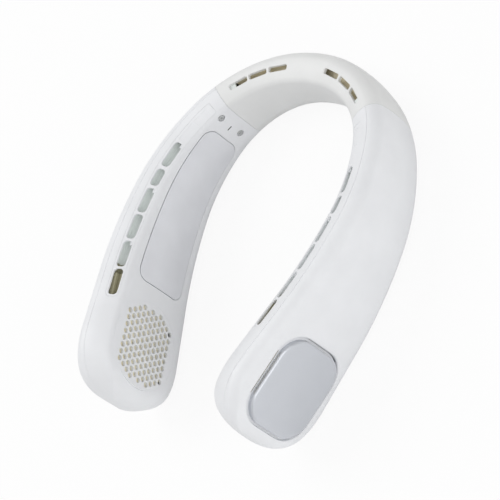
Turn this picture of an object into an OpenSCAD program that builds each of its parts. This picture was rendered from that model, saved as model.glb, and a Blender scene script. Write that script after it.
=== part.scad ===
// Electric neck fan: a nape bridge and two blower arms that lie round the neck.
// The band is worked out in its own plane, where z is zero at mid height, the nape is at +Y and
// the vented edge is up. Each piece is then laid down on the flat lower edge of the band.
// A place on the band is s, the way along the inner face from the nape, n, the depth outwards
// from that face, and z. Left pieces are mirror images of the right ones.

/* [Band plan] */
// Radius of the inner face at the nape
nape_r = 78; // [74:0.5:82]
// Half angle of the nape arc
nape_angle = 8; // [7:0.5:9]
// Radius of the inner face at the shoulders
shoulder_r = 55; // [53:0.5:57]
// Angle of the shoulder arc
shoulder_angle = 60; // [58:0.5:61]
// Radius of the inner face beside the neck
side_r = 96; // [92:0.5:100]
// Angle of the side arc
side_angle = 25; // [24:0.5:26]
// Radius of the inner face at the waist of the arm
waist_r = 248; // [240:1:256]
// Angle of the waist arc, after which the arm runs straight
waist_angle = 12; // [11:0.5:13]
// Length of the inner face line from the nape to a tip
band_len = 229.7; // [228.5:0.1:232]

/* [Band section] */
// Thickness of the band at the nape
nape_t = 20.7; // [20.2:0.1:21.5]
// Thickness of the arms at the fans
arm_t = 24.8; // [24.4:0.1:25.4]
// Height of the upper edge over the middle plane at the nape
nape_up = 18.75; // [18.4:0.05:19.5]
// Height of the upper edge over the middle plane at the fans
tip_up = 33.4; // [33:0.1:34]
// Bow of the upper edge between the nape and the fans
top_bow = 1.3; // [0.8:0.1:1.6]
// Depth of the lower edge under the middle plane at the nape
nape_dn = 19.4; // [19:0.1:20]
// Depth of the lower edge under the middle plane at the fans
tip_dn = 34; // [33.6:0.1:34.6]
// Radius of the upper inner corner, which carries the vents
top_in_r = 10; // [9.6:0.1:10.4]
// Radius of the upper outer corner
top_out_r = 6; // [5.5:0.1:6.4]
// Radius of the lower inner corner
low_in_r = 11.5; // [10.8:0.1:11.8]
// Radius of the lower outer corner
low_out_r = 7.5; // [6.8:0.1:7.8]
// Crown of the inner face
in_bow = 2; // [1.6:0.1:2.3]
// Crown of the outer face
out_bow = 2.5; // [2.2:0.1:2.7]
// Wall of the shells and of the bridge
wall = 2; // [1.9:0.05:2.1]

/* [Seams] */
// Place of the seam between bridge and arm, on the inner face
seam_s = 52.1; // [51:0.1:53]
// Gap at the seam
seam_gap = 0.3; // [0.2:0.05:0.4]
// Depth of the parting line between the arm shells, at the nape
nape_part = 14; // [13.9:0.05:14.2]
// Depth of the parting line between the arm shells, at the fans
arm_part = 16.1; // [15.9:0.1:16.3]

/* [Fans] */
// Place of the fan axis along the band
fan_s = 197.5; // [197.1:0.1:197.9]
// Height of the fan axis over the middle plane
fan_z = 1.9; // [1.5:0.1:2.3]
// Outer radius of the impeller
impeller_r = 20.8; // [20.4:0.1:21.2]
// Number of impeller blades
blades = 27; // [23:1:31]
// Radius of the intake grille insert
grille_r = 24.6; // [24.4:0.1:24.8]
// Spacing of the grille holes along the arm
hole_pitch = 4.04; // [3.95:0.01:4.1]
// Spacing of the rows of grille holes across the arm
row_pitch = 3.4; // [3.35:0.01:3.45]
// Radius of a grille hole
hole_r = 1.3; // [1.1:0.05:1.4]
// Length of the outer cap along the arm
cap_l = 48; // [47.5:0.1:48.5]
// Height of the outer cap
cap_h = 44.4; // [44:0.1:44.8]
// Corner radius of the outer cap
cap_corner_r = 13; // [12:0.5:14]
// Gap round the outer cap in its well
well_gap = 2.3; // [2.1:0.1:2.5]

/* [Vents] */
// First end of the vent strip
strip_a = 58.6; // [57.8:0.1:59]
// Last end of the vent strip
strip_b = 179.5; // [179.2:0.1:180]
// Width of the arm vents
vent_w = 4.4; // [4:0.1:4.7]
// Width of the bridge vents
bridge_vent_w = 3.9; // [3.5:0.1:4.2]

/* [Cooling] */
// Way along the band from the seam to the cooling plate
plate_from_seam = 15.2; // [14.6:0.1:15.6]
// Way along the band from the cooling plate to the grille insert
plate_to_grille = 9.7; // [9:0.1:10.4]
// Thickness of the cooling plate
plate_t = 1.2; // [1.1:0.05:1.3]
// Side of the square thermoelectric module
module_side = 23; // [21:0.5:24]
// Thickness of the thermoelectric module
module_t = 3.4; // [3.3:0.05:3.5]

/* [Controls] */
// Place of the power button and of the charging socket along the band
button_s = 80; // [79.5:0.1:80.5]
// Radius of the power button
button_r = 4; // [3.8:0.1:4.2]
// Travel of the power button
button_travel = 0.4; // [0.3:0.05:0.45]

/* [Hidden] */
$fn = 48;

// Colours
white = [0.93, 0.93, 0.94];
bridge_white = [0.9, 0.91, 0.9];
silver = [0.78, 0.8, 0.83];
steel = [0.62, 0.63, 0.65];
olive = [0.42, 0.4, 0.31];
cream = [0.86, 0.83, 0.72];
grey = [0.55, 0.57, 0.58];
dark = [0.16, 0.16, 0.17];
board_green = [0.1, 0.35, 0.2];
cell_blue = [0.2, 0.35, 0.6];
copper = [0.72, 0.45, 0.25];
glow = [0.75, 0.9, 1];

// Clearances and overrun
over = 1;
fit = 0.1;
seat = 0.05;
slip = 0.25;

// Where the band starts and stops to thicken
grow_from = 22;
grow_to = 154;
// Length of the rounding of a tip, in height and in thickness, and its roundness
tip_round = 34.2;
tip_nose = 11;
tip_power_share = 2.28;

// Steps of the lofted surfaces
main_steps = 16;
tip_steps = 7;
bridge_steps = 14;
plate_steps = 9;
plate_rows = 4;
quarter = 4;
corner_round_steps = 3;
top_out_angles = [0, 30, 60, 90];
low_angles = [0, 30, 60, 90];
plain_top_angles = [90, 60, 30, 0];
face_share = 0.55;
face_shares = [face_share, 0, -face_share];

// Vent strip: its span round the upper inner corner, the edge of its groove and its sizes
strip_hi_angle = 76;
strip_lo_angle = 31;
strip_edge_angle = 1.5;
under_strip_angle = 10;
strip_angles = [for (k = [0:quarter]) strip_hi_angle - k * (strip_hi_angle - strip_lo_angle) / quarter];
groove_angles = concat([90, strip_hi_angle + strip_edge_angle], strip_angles,
    [strip_lo_angle - strip_edge_angle, under_strip_angle, 0]);
strip_t = 1.2;
strip_rear_n = 1;
strip_gap_angle = 0.7;
strip_sink = 0.15;
groove_step = 0.3;
vent_mid_angle = 53.5;
corner_squash_share = 0.91;
vent_half_angle = vent_w / 2 / (top_in_r * corner_squash_share) * 180 / PI;
blind_t = 0.35;
vent_spans = [[83.6, 98.2], [100.2, 110.2], [112, 127], [128.4, 143.4], [145, 160.6], [162, 178]];
blind_spans = [[61.4, 70.2], [71, 82]];
bridge_vent_spans = [[12.8, 23.4], [24.8, 34.8], [36, 46]];
bridge_vent_mid_angle = 78;
bridge_vent_r = 1;
vent_ease = 0.8;
tab_vents = [0, 2, 4];
tab_l = 2.5;
tab_h = 2.6;

// Plan arcs as lists, worked along from the nape
arc_rs = [nape_r, shoulder_r, side_r, waist_r];
arc_as = [nape_angle, shoulder_angle, side_angle, waist_angle];
function arc_len(i) = arc_rs[i] * arc_as[i] * PI / 180;
function upto(v, k) = k <= 0 ? 0 : v[k - 1] + upto(v, k - 1);
arc_lens = [for (i = [0:3]) arc_len(i)];
arc_s = [for (i = [0:4]) upto(arc_lens, i)];
arc_h = [for (i = [0:4]) upto(arc_as, i)];
function arc_step(i) = arc_rs[i] * [sin(arc_h[i + 1]) - sin(arc_h[i]), cos(arc_h[i + 1]) - cos(arc_h[i])];
arc_steps = [for (i = [0:3]) arc_step(i)];
function sum_steps(k) = k <= 0 ? [0, 0] : arc_steps[k - 1] + sum_steps(k - 1);
arc_p = [for (i = [0:4]) sum_steps(i)];

// Inner face line: place and heading at s, for the right side
function arc_at(s) = s < arc_s[1] ? 0 : s < arc_s[2] ? 1 : s < arc_s[3] ? 2 : s < arc_s[4] ? 3 : 4;
function line_at(s) = let (i = arc_at(s), d = s - arc_s[i], h = arc_h[i])
    i == 4 ? [arc_p[4].x + d * cos(h), arc_p[4].y - d * sin(h), h]
    : let (g = h + d / arc_rs[i] * 180 / PI, p = arc_p[i] + arc_rs[i] * [sin(g) - sin(h), cos(g) - cos(h)])
        [p.x, p.y, g];
function line(s) = s < 0 ? let (q = line_at(-s)) [-q.x, q.y, -q[2]] : line_at(s);

// Section sizes along the band
rise = -line(fan_s)[1];
function half_up(y) = let (u = -y / rise) nape_up + (tip_up - nape_up) * u + 4 * top_bow * u * (1 - u);
function half_dn(y) = let (u = -y / rise) nape_dn + (tip_dn - nape_dn) * u;
function ease(x) = let (u = min(1, max(0, x))) u * u * (3 - 2 * u);
function grown(s) = ease((abs(s) - grow_from) / (grow_to - grow_from));
function thick(s) = nape_t + (arm_t - nape_t) * grown(s);
function part_n(s) = nape_part + (arm_part - nape_part) * grown(s);

// Crown of both faces at a height share q
function crowned(n, q, t) = n + in_bow * q * q * (1 - n / t) - out_bow * q * q * n / t;

// Points of the section in flat depth and height share, for an offset inwards
function raw(s, n, z) = let (y = line(s)[1]) [n, z > 0 ? z / half_up(y) : z / half_dn(y)];
function inner_contour(s, off, angles, groove = 0) = let (
        y = line(s)[1], U = half_up(y), D = half_dn(y), p = part_n(s), r = top_in_r, b = low_in_r)
    concat([raw(s, p, U - off)],
        [for (a = angles) let (e = a <= strip_hi_angle && a >= strip_lo_angle ? groove : 0)
            raw(s, r - (r - off - e) * cos(a), U - r + (r - off - e) * sin(a))],
        [for (k = face_shares) raw(s, off, k * (k > 0 ? U - r : D - b))],
        [for (a = low_angles) raw(s, b - (b - off) * cos(a), -D + b - (b - off) * sin(a))],
        [raw(s, p, -D + off)]);
function outer_contour(s, off) = let (
        y = line(s)[1], U = half_up(y), D = half_dn(y), p = part_n(s), t = thick(s),
        r = top_out_r, b = low_out_r)
    concat([raw(s, p, -D + off)],
        [for (a = low_angles) raw(s, t - b + (b - off) * sin(a), -D + b - (b - off) * cos(a))],
        [for (k = [-face_share, 0, face_share]) raw(s, t - off, k * (k > 0 ? U - r : D - b))],
        [for (a = top_out_angles) raw(s, t - r + (r - off) * cos(a), U - r + (r - off) * sin(a))],
        [raw(s, p, U - off)]);

// A contour point in space, with the crown. The lower edge stays in one plane, because the half
// heights are taken at the point's own y.
function place(s, c) = let (l = line(s), n = crowned(c[0], c[1], thick(s)),
        x = l.x + n * sin(l[2]), y = l.y + n * cos(l[2]))
    [x, y, c[1] * (c[1] > 0 ? half_up(y) : half_dn(y))];

// A ring of an arm shell. In the tip the section shrinks towards the parting line.
function tip_share(s, cut, l) = let (u = min(1, max(0, (s - (band_len - l)) / (l - cut))))
    pow(max(0, 1 - pow(u, tip_power_share)), 1 / tip_power_share);
function arm_ring(s, cut, contour) = let (
        fz = tip_share(s, cut, tip_round), fn = tip_share(s, cut, tip_nose), p = part_n(s))
    [for (c = contour) place(s, [p + (c[0] - p) * fn, c[1] * fz])];

arm_stations = concat([seam_s + seam_gap / 2, strip_a - groove_step],
    [for (i = [0:main_steps]) strip_a + i * (strip_b - strip_a) / main_steps],
    [strip_b + groove_step]);
function tip_stations(cut) = [for (k = [0:tip_steps - 1])
    band_len - tip_round + (tip_round - cut) * sin(90 * k / tip_steps)];
function in_strip(s) = s > strip_a - groove_step / 2 && s < strip_b + groove_step / 2;

// A cup-shaped solid between an outer and an inner set of rings, closed at the tip by two poles
module cup(outer, inner, outer_pole, inner_pole) {
    m = len(outer[0]);
    k = len(outer);
    count = m * k;
    pts = concat([for (r = outer) each r], [for (r = inner) each r], [outer_pole, inner_pole]);
    o = function (i, j) i * m + j;
    q = function (i, j) count + i * m + j;
    pole_o = 2 * count;
    pole_q = 2 * count + 1;
    faces = concat(
        [for (i = [0:k - 2], j = [0:m - 2]) each [
            [o(i, j), o(i, j + 1), o(i + 1, j + 1)], [o(i, j), o(i + 1, j + 1), o(i + 1, j)],
            [q(i, j), q(i + 1, j + 1), q(i, j + 1)], [q(i, j), q(i + 1, j), q(i + 1, j + 1)]]],
        [for (j = [0:m - 2]) each [
            [o(k - 1, j), o(k - 1, j + 1), pole_o], [q(k - 1, j), pole_q, q(k - 1, j + 1)],
            [o(0, j), q(0, j + 1), o(0, j + 1)], [o(0, j), q(0, j), q(0, j + 1)]]],
        [for (i = [0:k - 2]) each [
            [o(i, 0), o(i + 1, 0), q(i + 1, 0)], [o(i, 0), q(i + 1, 0), q(i, 0)],
            [o(i, m - 1), q(i + 1, m - 1), o(i + 1, m - 1)], [o(i, m - 1), q(i, m - 1), q(i + 1, m - 1)]]],
        [[o(k - 1, 0), pole_o, pole_q], [o(k - 1, 0), pole_q, q(k - 1, 0)],
            [o(k - 1, m - 1), pole_q, pole_o], [o(k - 1, m - 1), q(k - 1, m - 1), pole_q]]);
    polyhedron(pts, faces, convexity = 8);
}

// A tube between two sets of closed rings, open at both ends
module ring_tube(outer, inner) {
    m = len(outer[0]);
    k = len(outer);
    pts = concat([for (r = outer) each r], [for (r = inner) each r]);
    o = function (i, j) i * m + j % m;
    q = function (i, j) m * k + i * m + j % m;
    polyhedron(pts, concat(
        [for (i = [0:k - 2], j = [0:m - 1]) each [
            [o(i, j), o(i, j + 1), o(i + 1, j + 1)], [o(i, j), o(i + 1, j + 1), o(i + 1, j)],
            [q(i, j), q(i + 1, j + 1), q(i, j + 1)], [q(i, j), q(i + 1, j), q(i + 1, j + 1)]]],
        [for (j = [0:m - 1]) each [
            [o(0, j), q(0, j + 1), o(0, j + 1)], [o(0, j), q(0, j), q(0, j + 1)],
            [o(k - 1, j), o(k - 1, j + 1), q(k - 1, j + 1)],
            [o(k - 1, j), q(k - 1, j + 1), q(k - 1, j)]]]), convexity = 8);
}

// A solid bar through a set of closed rings. Each ring runs along its front and back along its
// rear, with as many points on both, so that the ends close as strips.
module ring_bar(rings) {
    m = len(rings[0]);
    k = len(rings);
    o = function (i, j) i * m + j % m;
    polyhedron([for (r = rings) each r], concat(
        [for (i = [0:k - 2], j = [0:m - 1]) each [
            [o(i, j), o(i, j + 1), o(i + 1, j + 1)], [o(i, j), o(i + 1, j + 1), o(i + 1, j)]]],
        [for (j = [0:m / 2 - 2]) each [
            [o(0, j), o(0, m - 1 - j), o(0, j + 1)], [o(0, j + 1), o(0, m - 1 - j), o(0, m - 2 - j)],
            [o(k - 1, j), o(k - 1, j + 1), o(k - 1, m - 1 - j)],
            [o(k - 1, j + 1), o(k - 1, m - 2 - j), o(k - 1, m - 1 - j)]]]),
        convexity = 6);
}

// The band lies on its lower edge. The middle of its outline in plan is the origin.
lay_drop = tip_dn - nape_dn;
lay_angle = atan(lay_drop / rise);
function laid(p) = [p.x, p.y * cos(lay_angle) + p.z * sin(lay_angle),
    -p.y * sin(lay_angle) + p.z * cos(lay_angle)];
back_rings = [for (c = outer_contour(0, 0)) laid(place(0, c)).y];
front_y = laid(pole(0)).y;
mid_y = (max(back_rings) + front_y) / 2;
lift = nape_dn * cos(lay_angle);
module lay() {
    translate([0, -mid_y, lift]) rotate([-lay_angle, 0, 0]) children();
}
module right() {
    lay() children();
}
module left() {
    lay() mirror([1, 0, 0]) children();
}

// Local axes on the arm: X towards the tip, Y outwards, Z up
module on_arm(s, n = 0, z = 0) {
    l = line(s);
    translate([l.x + n * sin(l[2]), l.y + n * cos(l[2]), z]) rotate([0, 0, -l[2]]) children();
}
module on_fan(n = 0) {
    on_arm(fan_s, n, fan_z) rotate([-90, 0, 0]) children();
}
module on_cap(n = 0) {
    on_arm(cap_s, n, cap_z) rotate([-90, 0, 0]) children();
}
module lozenge(l, w) {
    square([l - w, w], center = true);
    translate([(l - w) / 2, 0]) circle(d = w);
    translate([(w - l) / 2, 0]) circle(d = w);
}
module round_rect(l, w, r) {
    square([l, w - 2 * r], center = true);
    square([l - 2 * r, w], center = true);
    for (x = [-1, 1], y = [-1, 1]) translate([x * (l / 2 - r), y * (w / 2 - r)]) circle(r);
}
module slot_shape(l, w, r) {
    if (2 * r < w) round_rect(l, w, r);
    else lozenge(l, w);
}

// Vent cuts in the upper inner corner, square to the crowned surface at a corner angle
function corner_place(s, a, off) = let (y = line(s)[1], U = half_up(y), r = top_in_r,
    c = raw(s, r - (r - off) * cos(a), U - r + (r - off) * sin(a))) [crowned(c[0], c[1], thick(s)), c[1] * U];
module on_corner(s, a) {
    c = corner_place(s, a, 0);
    on_arm(s, c[0], c[1]) rotate([90 - a, 0, 0]) children();
}
module vent_cuts(spans, a, w, r, up, down, tabs = []) {
    for (k = [0:len(spans) - 1]) let (v = spans[k], s = (v[0] + v[1]) / 2, l = v[1] - v[0])
        on_corner(s, a) translate([0, 0, -down]) linear_extrude(up + down) difference() {
            slot_shape(l, w, r);
            if (len(search(k, tabs)) > 0) translate([-l / 2, -w / 2]) square([tab_l, tab_h]);
        }
}

// Shells of an arm
module inner_cup() {
    tips = tip_stations(0);
    cavity_tips = tip_stations(wall);
    outer = concat(
        [for (s = arm_stations) arm_ring(s, 0, inner_contour(s, 0, groove_angles, in_strip(s) ? strip_t : 0))],
        [for (s = tips) arm_ring(s, 0, inner_contour(s, 0, groove_angles))]);
    inner = concat(
        [for (s = arm_stations) arm_ring(s, wall, inner_contour(s, wall, groove_angles))],
        [for (s = cavity_tips) arm_ring(s, wall, inner_contour(s, wall, groove_angles))]);
    cup(outer, inner, pole(0), pole(wall));
}
module outer_cup() {
    tips = tip_stations(0);
    cavity_tips = tip_stations(wall);
    cup(concat([for (s = arm_stations) arm_ring(s, 0, outer_contour(s, 0))],
            [for (s = tips) arm_ring(s, 0, outer_contour(s, 0))]),
        concat([for (s = arm_stations) arm_ring(s, wall, outer_contour(s, wall))],
            [for (s = cavity_tips) arm_ring(s, wall, outer_contour(s, wall))]),
        pole(0), pole(wall));
}
function pole(cut) = let (s = band_len - cut) place(s, [part_n(s), 0]);

// Joint screws and light slit, seen between the seam and the cooling plate
screw_from_seam = 7.2;
screw_s = seam_s + screw_from_seam;
screw_zs = [12.1, -5];
well_r = 2;
well_depth = 1.5;
screw_head_r = 1.6;
screw_head_t = 1;
screw_r = 1;
screw_l = 5;
socket_r = 0.7;
light_from_seam = 8.8;
light_s = seam_s + light_from_seam;
light_z = 3.4;
light_w = 0.7;
light_l = 3.2;
function face_n(s, z) = let (y = line(s)[1], q = z > 0 ? z / half_up(y) : z / half_dn(y)) in_bow * q * q;
module at_face(s, z, n = 0) {
    on_arm(s, face_n(s, z) + n, z) rotate([-90, 0, 0]) children();
}
module inner_shell() {
    difference() {
        inner_cup();
        vent_cuts(vent_spans, vent_mid_angle, vent_w + 2 * vent_ease, vent_w, over, wall + over, tab_vents);
        plate_solid(plate_gap, plate_t + seat, over);
        on_arm(module_s, -over, module_z) translate([-window_side / 2, 0, -window_side / 2])
            cube([window_side, wall + 2 * over, window_side]);
        on_fan(-over) cylinder(r = grille_r + fit, h = wall + in_bow + 2 * over);
        for (z = screw_zs) {
            at_face(screw_s, z, -over) cylinder(r = well_r, h = over + well_depth);
            at_face(screw_s, z, -over) cylinder(r = screw_r + fit, h = wall + 2 * over);
        }
        at_face(light_s, light_z, -over) linear_extrude(wall + 2 * over)
            square([light_l, light_w] + [fit, fit], center = true);
    }
}
module outer_shell(controls) {
    difference() {
        outer_cup();
        on_cap(arm_t / 2) linear_extrude(arm_t) round_rect(well_l, well_h, well_corner_r);
        if (controls) {
            on_button(board_n) cylinder(r = button_r + fit, h = arm_t);
            socket_hole();
        }
    }
}

// Bridge: one sleeve, vented on its upper inner corner
bridge_end = seam_s - seam_gap / 2;
function loop(s, off) = let (a = inner_contour(s, off, plain_top_angles), b = outer_contour(s, off))
    concat(a, [for (i = [1:len(b) - 2]) b[i]]);
function spread(half, steps) = [for (i = [0:steps]) -half + 2 * half * i / steps];
function tube_rings(stations, off) = [for (s = stations) [for (c = loop(abs(s), off)) place(s, c)]];
module neck_bridge() {
    s_list = spread(bridge_end, bridge_steps);
    color(bridge_white) lay() difference() {
        ring_tube(tube_rings(s_list, 0), tube_rings(s_list, wall));
        for (side = [0, 1]) mirror([side, 0, 0])
            vent_cuts(bridge_vent_spans, bridge_vent_mid_angle, bridge_vent_w, bridge_vent_r,
                over, wall + over);
    }
}
// Joint frames plug the bridge onto the arms
frame_half = 9;
frame_t = 1.4;
frame_steps = 3;
module joint_frame() {
    s_list = [for (d = spread(frame_half, frame_steps)) seam_s + d];
    difference() {
        ring_tube(tube_rings(s_list, wall + slip), tube_rings(s_list, wall + slip + frame_t));
        for (z = screw_zs) at_face(screw_s, z) cylinder(r = screw_r + seat, h = screw_l + wall + over);
    }
}
// Air duct of the bridge, which shows through its vents
duct_t = 0.9;
duct_off = wall + slip + frame_t + slip;
duct_half = screw_s - screw_r - slip - fit;
duct_steps = 12;
module bridge_duct() {
    s_list = spread(duct_half, duct_steps);
    color(cream) lay() ring_tube(tube_rings(s_list, duct_off), tube_rings(s_list, duct_off + duct_t));
}
// Wires from arm to arm, lying on the floor of the bridge duct
wire_r = 1.3;
wire_n = 10.5;
wire_rise = 0.3;
wire_half = 65;
wire_steps = 26;
wire_sides = 8;
module bridge_wire() {
    s_list = spread(wire_half, wire_steps);
    floor_z = -half_dn(line(0)[1]) + duct_off + duct_t + wire_r + fit + wire_rise;
    color(dark) lay() ring_bar([for (s = s_list) let (l = line(s))
        [for (k = [0:wire_sides - 1]) let (a = 360 * k / wire_sides, n = wire_n + wire_r * cos(a))
            [l.x + n * sin(l[2]), l.y + n * cos(l[2]),
                floor_z - (half_dn(l.y + wire_n * cos(l[2])) - half_dn(0)) + wire_r * sin(a)]]]);
}

// Vent strip: a curved insert in a groove of the inner shell, with open vents and two blind
// panels. Each vent has a cell of its own, and each cell and each vent has the same number of
// points round it, four along every side and four round every end.
strip_cells = concat(blind_spans, vent_spans);
strip_cuts = concat([strip_a + fit],
    [for (c = [0:len(strip_cells) - 2]) (strip_cells[c][1] + strip_cells[c + 1][0]) / 2], [strip_b - fit]);
function strip_p(s, a, off) = let (U = half_up(line(s)[1]), r = top_in_r)
    place(s, raw(s, r - (r - off) * cos(a), U - r + (r - off) * sin(a)));
hole_count = 4 * quarter;
edge_count = quarter - 1;
line_count = quarter + 1;
blinds = len(blind_spans);
function hole_p(v, k, off) = let (
        q = floor(k / quarter), f = k / quarter - q, g = 180 * f - 90,
        h = (v[1] - v[0] - vent_w) / 2, mid = (v[0] + v[1]) / 2)
    q == 0 ? strip_p(mid - h + 2 * h * f, vent_mid_angle - vent_half_angle, off)
    : q == 1 ? strip_p(mid + h + vent_w / 2 * cos(g), vent_mid_angle + vent_half_angle * sin(g), off)
    : q == 2 ? strip_p(mid + h - 2 * h * f, vent_mid_angle + vent_half_angle, off)
    : strip_p(mid - h - vent_w / 2 * cos(g), vent_mid_angle - vent_half_angle * sin(g), off);
function lid_faces(b, m) = [for (k = [0:quarter - 1]) let (l = k + quarter, p = l + quarter, t = p + quarter)
    each [[b[k], b[k + 1], m[k + 1]], [b[k], m[k + 1], m[k]],
        [b[p], b[p + 1], m[quarter - 1 - k]], [b[p], m[quarter - 1 - k], m[quarter - k]],
        [b[l], b[l + 1], m[quarter]], [b[t], b[(t + 1) % hole_count], m[0]]]];
function ring_faces(a, b) = [for (k = [0:hole_count - 1]) let (l = (k + 1) % hole_count)
    each [[a[k], a[l], b[l]], [a[k], b[l], b[k]]]];
function turned(faces) = [for (f = faces) [f[0], f[2], f[1]]];
module vent_strip() {
    cells = len(strip_cells);
    front = strip_sink;
    rear = strip_rear_n;
    floor_n = strip_sink + blind_t;
    lo = strip_lo_angle + strip_gap_angle;
    hi = strip_hi_angle - strip_gap_angle;
    lines = [for (s = strip_cuts, off = [front, rear], j = [0:quarter])
        strip_p(s, lo + j * (hi - lo) / quarter, off)];
    cell_pts = [for (c = [0:cells - 1]) let (
            v = strip_cells[c], s0 = strip_cuts[c], s1 = strip_cuts[c + 1],
            h = (v[1] - v[0] - vent_w) / 2, mid = (v[0] + v[1]) / 2)
        each concat(
            [for (off = [front, rear], a = [lo, hi], k = [1:edge_count])
                strip_p(s0 + (s1 - s0) * k / quarter, a, off)],
            [for (k = [0:hole_count - 1]) hole_p(v, k, front)],
            [for (k = [0:hole_count - 1]) hole_p(v, k, c < blinds ? floor_n : rear)],
            [for (off = [floor_n, rear], k = [0:quarter])
                strip_p(mid - h + 2 * h * k / quarter, vent_mid_angle, off)])];
    first = len(lines);
    block = 4 * edge_count + 2 * hole_count + 2 * line_count;
    function at_line(c, side, j) = (c * 2 + side) * line_count + j;
    function edge(c, side, row, k) = first + c * block + (side * 2 + row) * edge_count + k - 1;
    function border(c, side) = [at_line(c, side, 0), each [for (k = [1:edge_count]) edge(c, side, 0, k)],
        each [for (j = [0:quarter]) at_line(c + 1, side, j)],
        each [for (k = [edge_count:-1:1]) edge(c, side, 1, k)],
        each [for (j = [quarter:-1:1]) at_line(c, side, j)]];
    function hole(c, deep) = [for (k = [0:hole_count - 1])
        first + c * block + 4 * edge_count + deep * hole_count + k];
    function middle(c, side) = [for (k = [0:quarter])
        first + c * block + 4 * edge_count + 2 * hole_count + side * line_count + k];
    faces = [for (c = [0:cells - 1]) let (
            f = border(c, 0), r = border(c, 1), h = hole(c, 0), g = hole(c, 1),
            sides = [for (k = [0:hole_count - 1]) let (q = floor(k / quarter))
                if (q == 0 || q == 2 || (q == 1 && c == cells - 1) || (q == 3 && c == 0)) k])
        each concat(ring_faces(f, h), ring_faces(h, g),
            c < blinds ? concat(lid_faces(g, middle(c, 0)), turned(lid_faces(r, middle(c, 1))))
                : turned(ring_faces(r, g)),
            [for (k = sides) let (l = (k + 1) % hole_count)
                each [[f[k], r[k], r[l]], [f[k], r[l], f[l]]]])];
    polyhedron(concat(lines, cell_pts), faces, convexity = 8);
}

// Cooling plate: follows the crowned inner face, with a pad for the module behind it
plate_up_share = 0.314;
plate_dn_share = 0.281;
plate_corner = 6.5;
plate_gap = 0.3;
plate_proud = 0.15;
plate_a = seam_s + plate_from_seam;
plate_b = fan_s - grille_r - plate_to_grille;
module_s = (plate_a + plate_b) / 2;
module_z = 1;
window_gap = 1.5;
window_side = module_side + 2 * window_gap;
pad_t = 1.3;
function plate_edge(d) = d >= plate_corner ? 0
    : plate_corner - sqrt(max(0, pow(plate_corner, 2) - pow(plate_corner - d, 2)));
function plate_row(s, g, n0) = let (
        y = line(s)[1], H = half_up(y) + half_dn(y),
        d = min(s - plate_a + g, plate_b + g - s), e = plate_edge(max(0, d)),
        hi = plate_up_share * H + g - e, lo = -plate_dn_share * H - g + e)
    [for (k = [0:plate_rows]) let (z = lo + (hi - lo) * k / plate_rows) place(s, raw(s, n0, z))];
function plate_stations(g) = concat(
    [for (k = [0:corner_round_steps]) plate_a - g + plate_corner * (1 - cos(90 * k / corner_round_steps))],
    [for (k = [1:plate_steps - 1])
        plate_a + plate_corner + k * (plate_b - plate_a - 2 * plate_corner) / plate_steps],
    [for (k = [corner_round_steps:-1:0]) plate_b + g - plate_corner * (1 - cos(90 * k / corner_round_steps))]);
module plate_solid(g, depth, proud) {
    ring_bar([for (s = plate_stations(g)) let (b = plate_row(s, g, depth), f = plate_row(s, g, -proud))
        concat(f, [for (i = [plate_rows:-1:0]) b[i]])]);
}
module cooling_plate() {
    plate_solid(0, plate_t, plate_proud);
    on_arm(module_s, 0, module_z) translate([-module_side / 2, plate_t / 2, -module_side / 2])
        cube([module_side, plate_t / 2 + pad_t, module_side]);
}
ceramic_t = 0.7;
module cooler_module() {
    on_arm(module_s, plate_t + pad_t, module_z) {
        translate([-module_side / 2, 0, -module_side / 2]) cube([module_side, ceramic_t, module_side]);
        translate([-module_side / 2 + over, ceramic_t, -module_side / 2 + over])
            cube([module_side - 2 * over, module_t - 2 * ceramic_t, module_side - 2 * over]);
        translate([-module_side / 2, module_t - ceramic_t, -module_side / 2])
            cube([module_side, ceramic_t, module_side]);
    }
}
// Heat sink: a base on the module's hot side and fins along the air stream
sink_l = 34;
sink_h = 24;
sink_base = 1.4;
fin_gap = 0.7;
fin_t = 0.7;
fins = 9;
sink_drop = 2;
sink_n = plate_t + pad_t + module_t;
module heat_sink() {
    on_arm(module_s, sink_n, module_z - sink_drop) {
        translate([-sink_l / 2, 0, -sink_h / 2]) cube([sink_l, sink_base, sink_h]);
        for (k = [0:fins - 1])
            translate([-sink_l / 2, sink_base - fit, -sink_h / 2 + k * (sink_h - fin_t) / (fins - 1)])
                cube([sink_l, fin_h + fit, fin_t]);
    }
}

// Air duct: a shelf and a wall that lead the air along the vented edge
duct_a = 68;
duct_b = 153;
arm_duct_drop = 9.5;
arm_duct_n = 10;
arm_duct_t = 0.9;
arm_duct_steps = 12;
module air_duct() {
    ring_bar([for (i = [0:arm_duct_steps]) let (
            s = duct_a + i * (duct_b - duct_a) / arm_duct_steps, y = line(s)[1], U = half_up(y),
            near = wall + slip, f = arm_duct_n, g = arm_duct_t,
            low = U - arm_duct_drop, top = U - wall - slip - top_bow / 2)
        [for (c = [[near, low + g], [f - g, low + g], [f - g, top], [f, top], [f, low], [near, low]])
            place(s, [c[0], c[1] / U])]]);
}

// Battery: two flat cells against the outer shell
cell_l = 32;
cell_h = 28;
cell_t = 6.4;
cell_between = 2;
cell_mid = plate_b - cell_l - cell_between / 2;
cell_places = [cell_mid - (cell_l + cell_between) / 2, cell_mid + (cell_l + cell_between) / 2];
cell_edge = 1;
cell_drop = 4;
// Depth of a cell that clears the crowned wall at its lower corners and its ends on the curve
function cell_n(s) = let (e = s - cell_l / 2, q = (cell_h / 2 + cell_drop) / half_dn(line(e)[1]), t = thick(e))
    crowned(t - wall, q, t) - pow(cell_l, 2) / 8 / (arc_rs[arc_at(e)] + t) - cell_t - slip;
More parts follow.
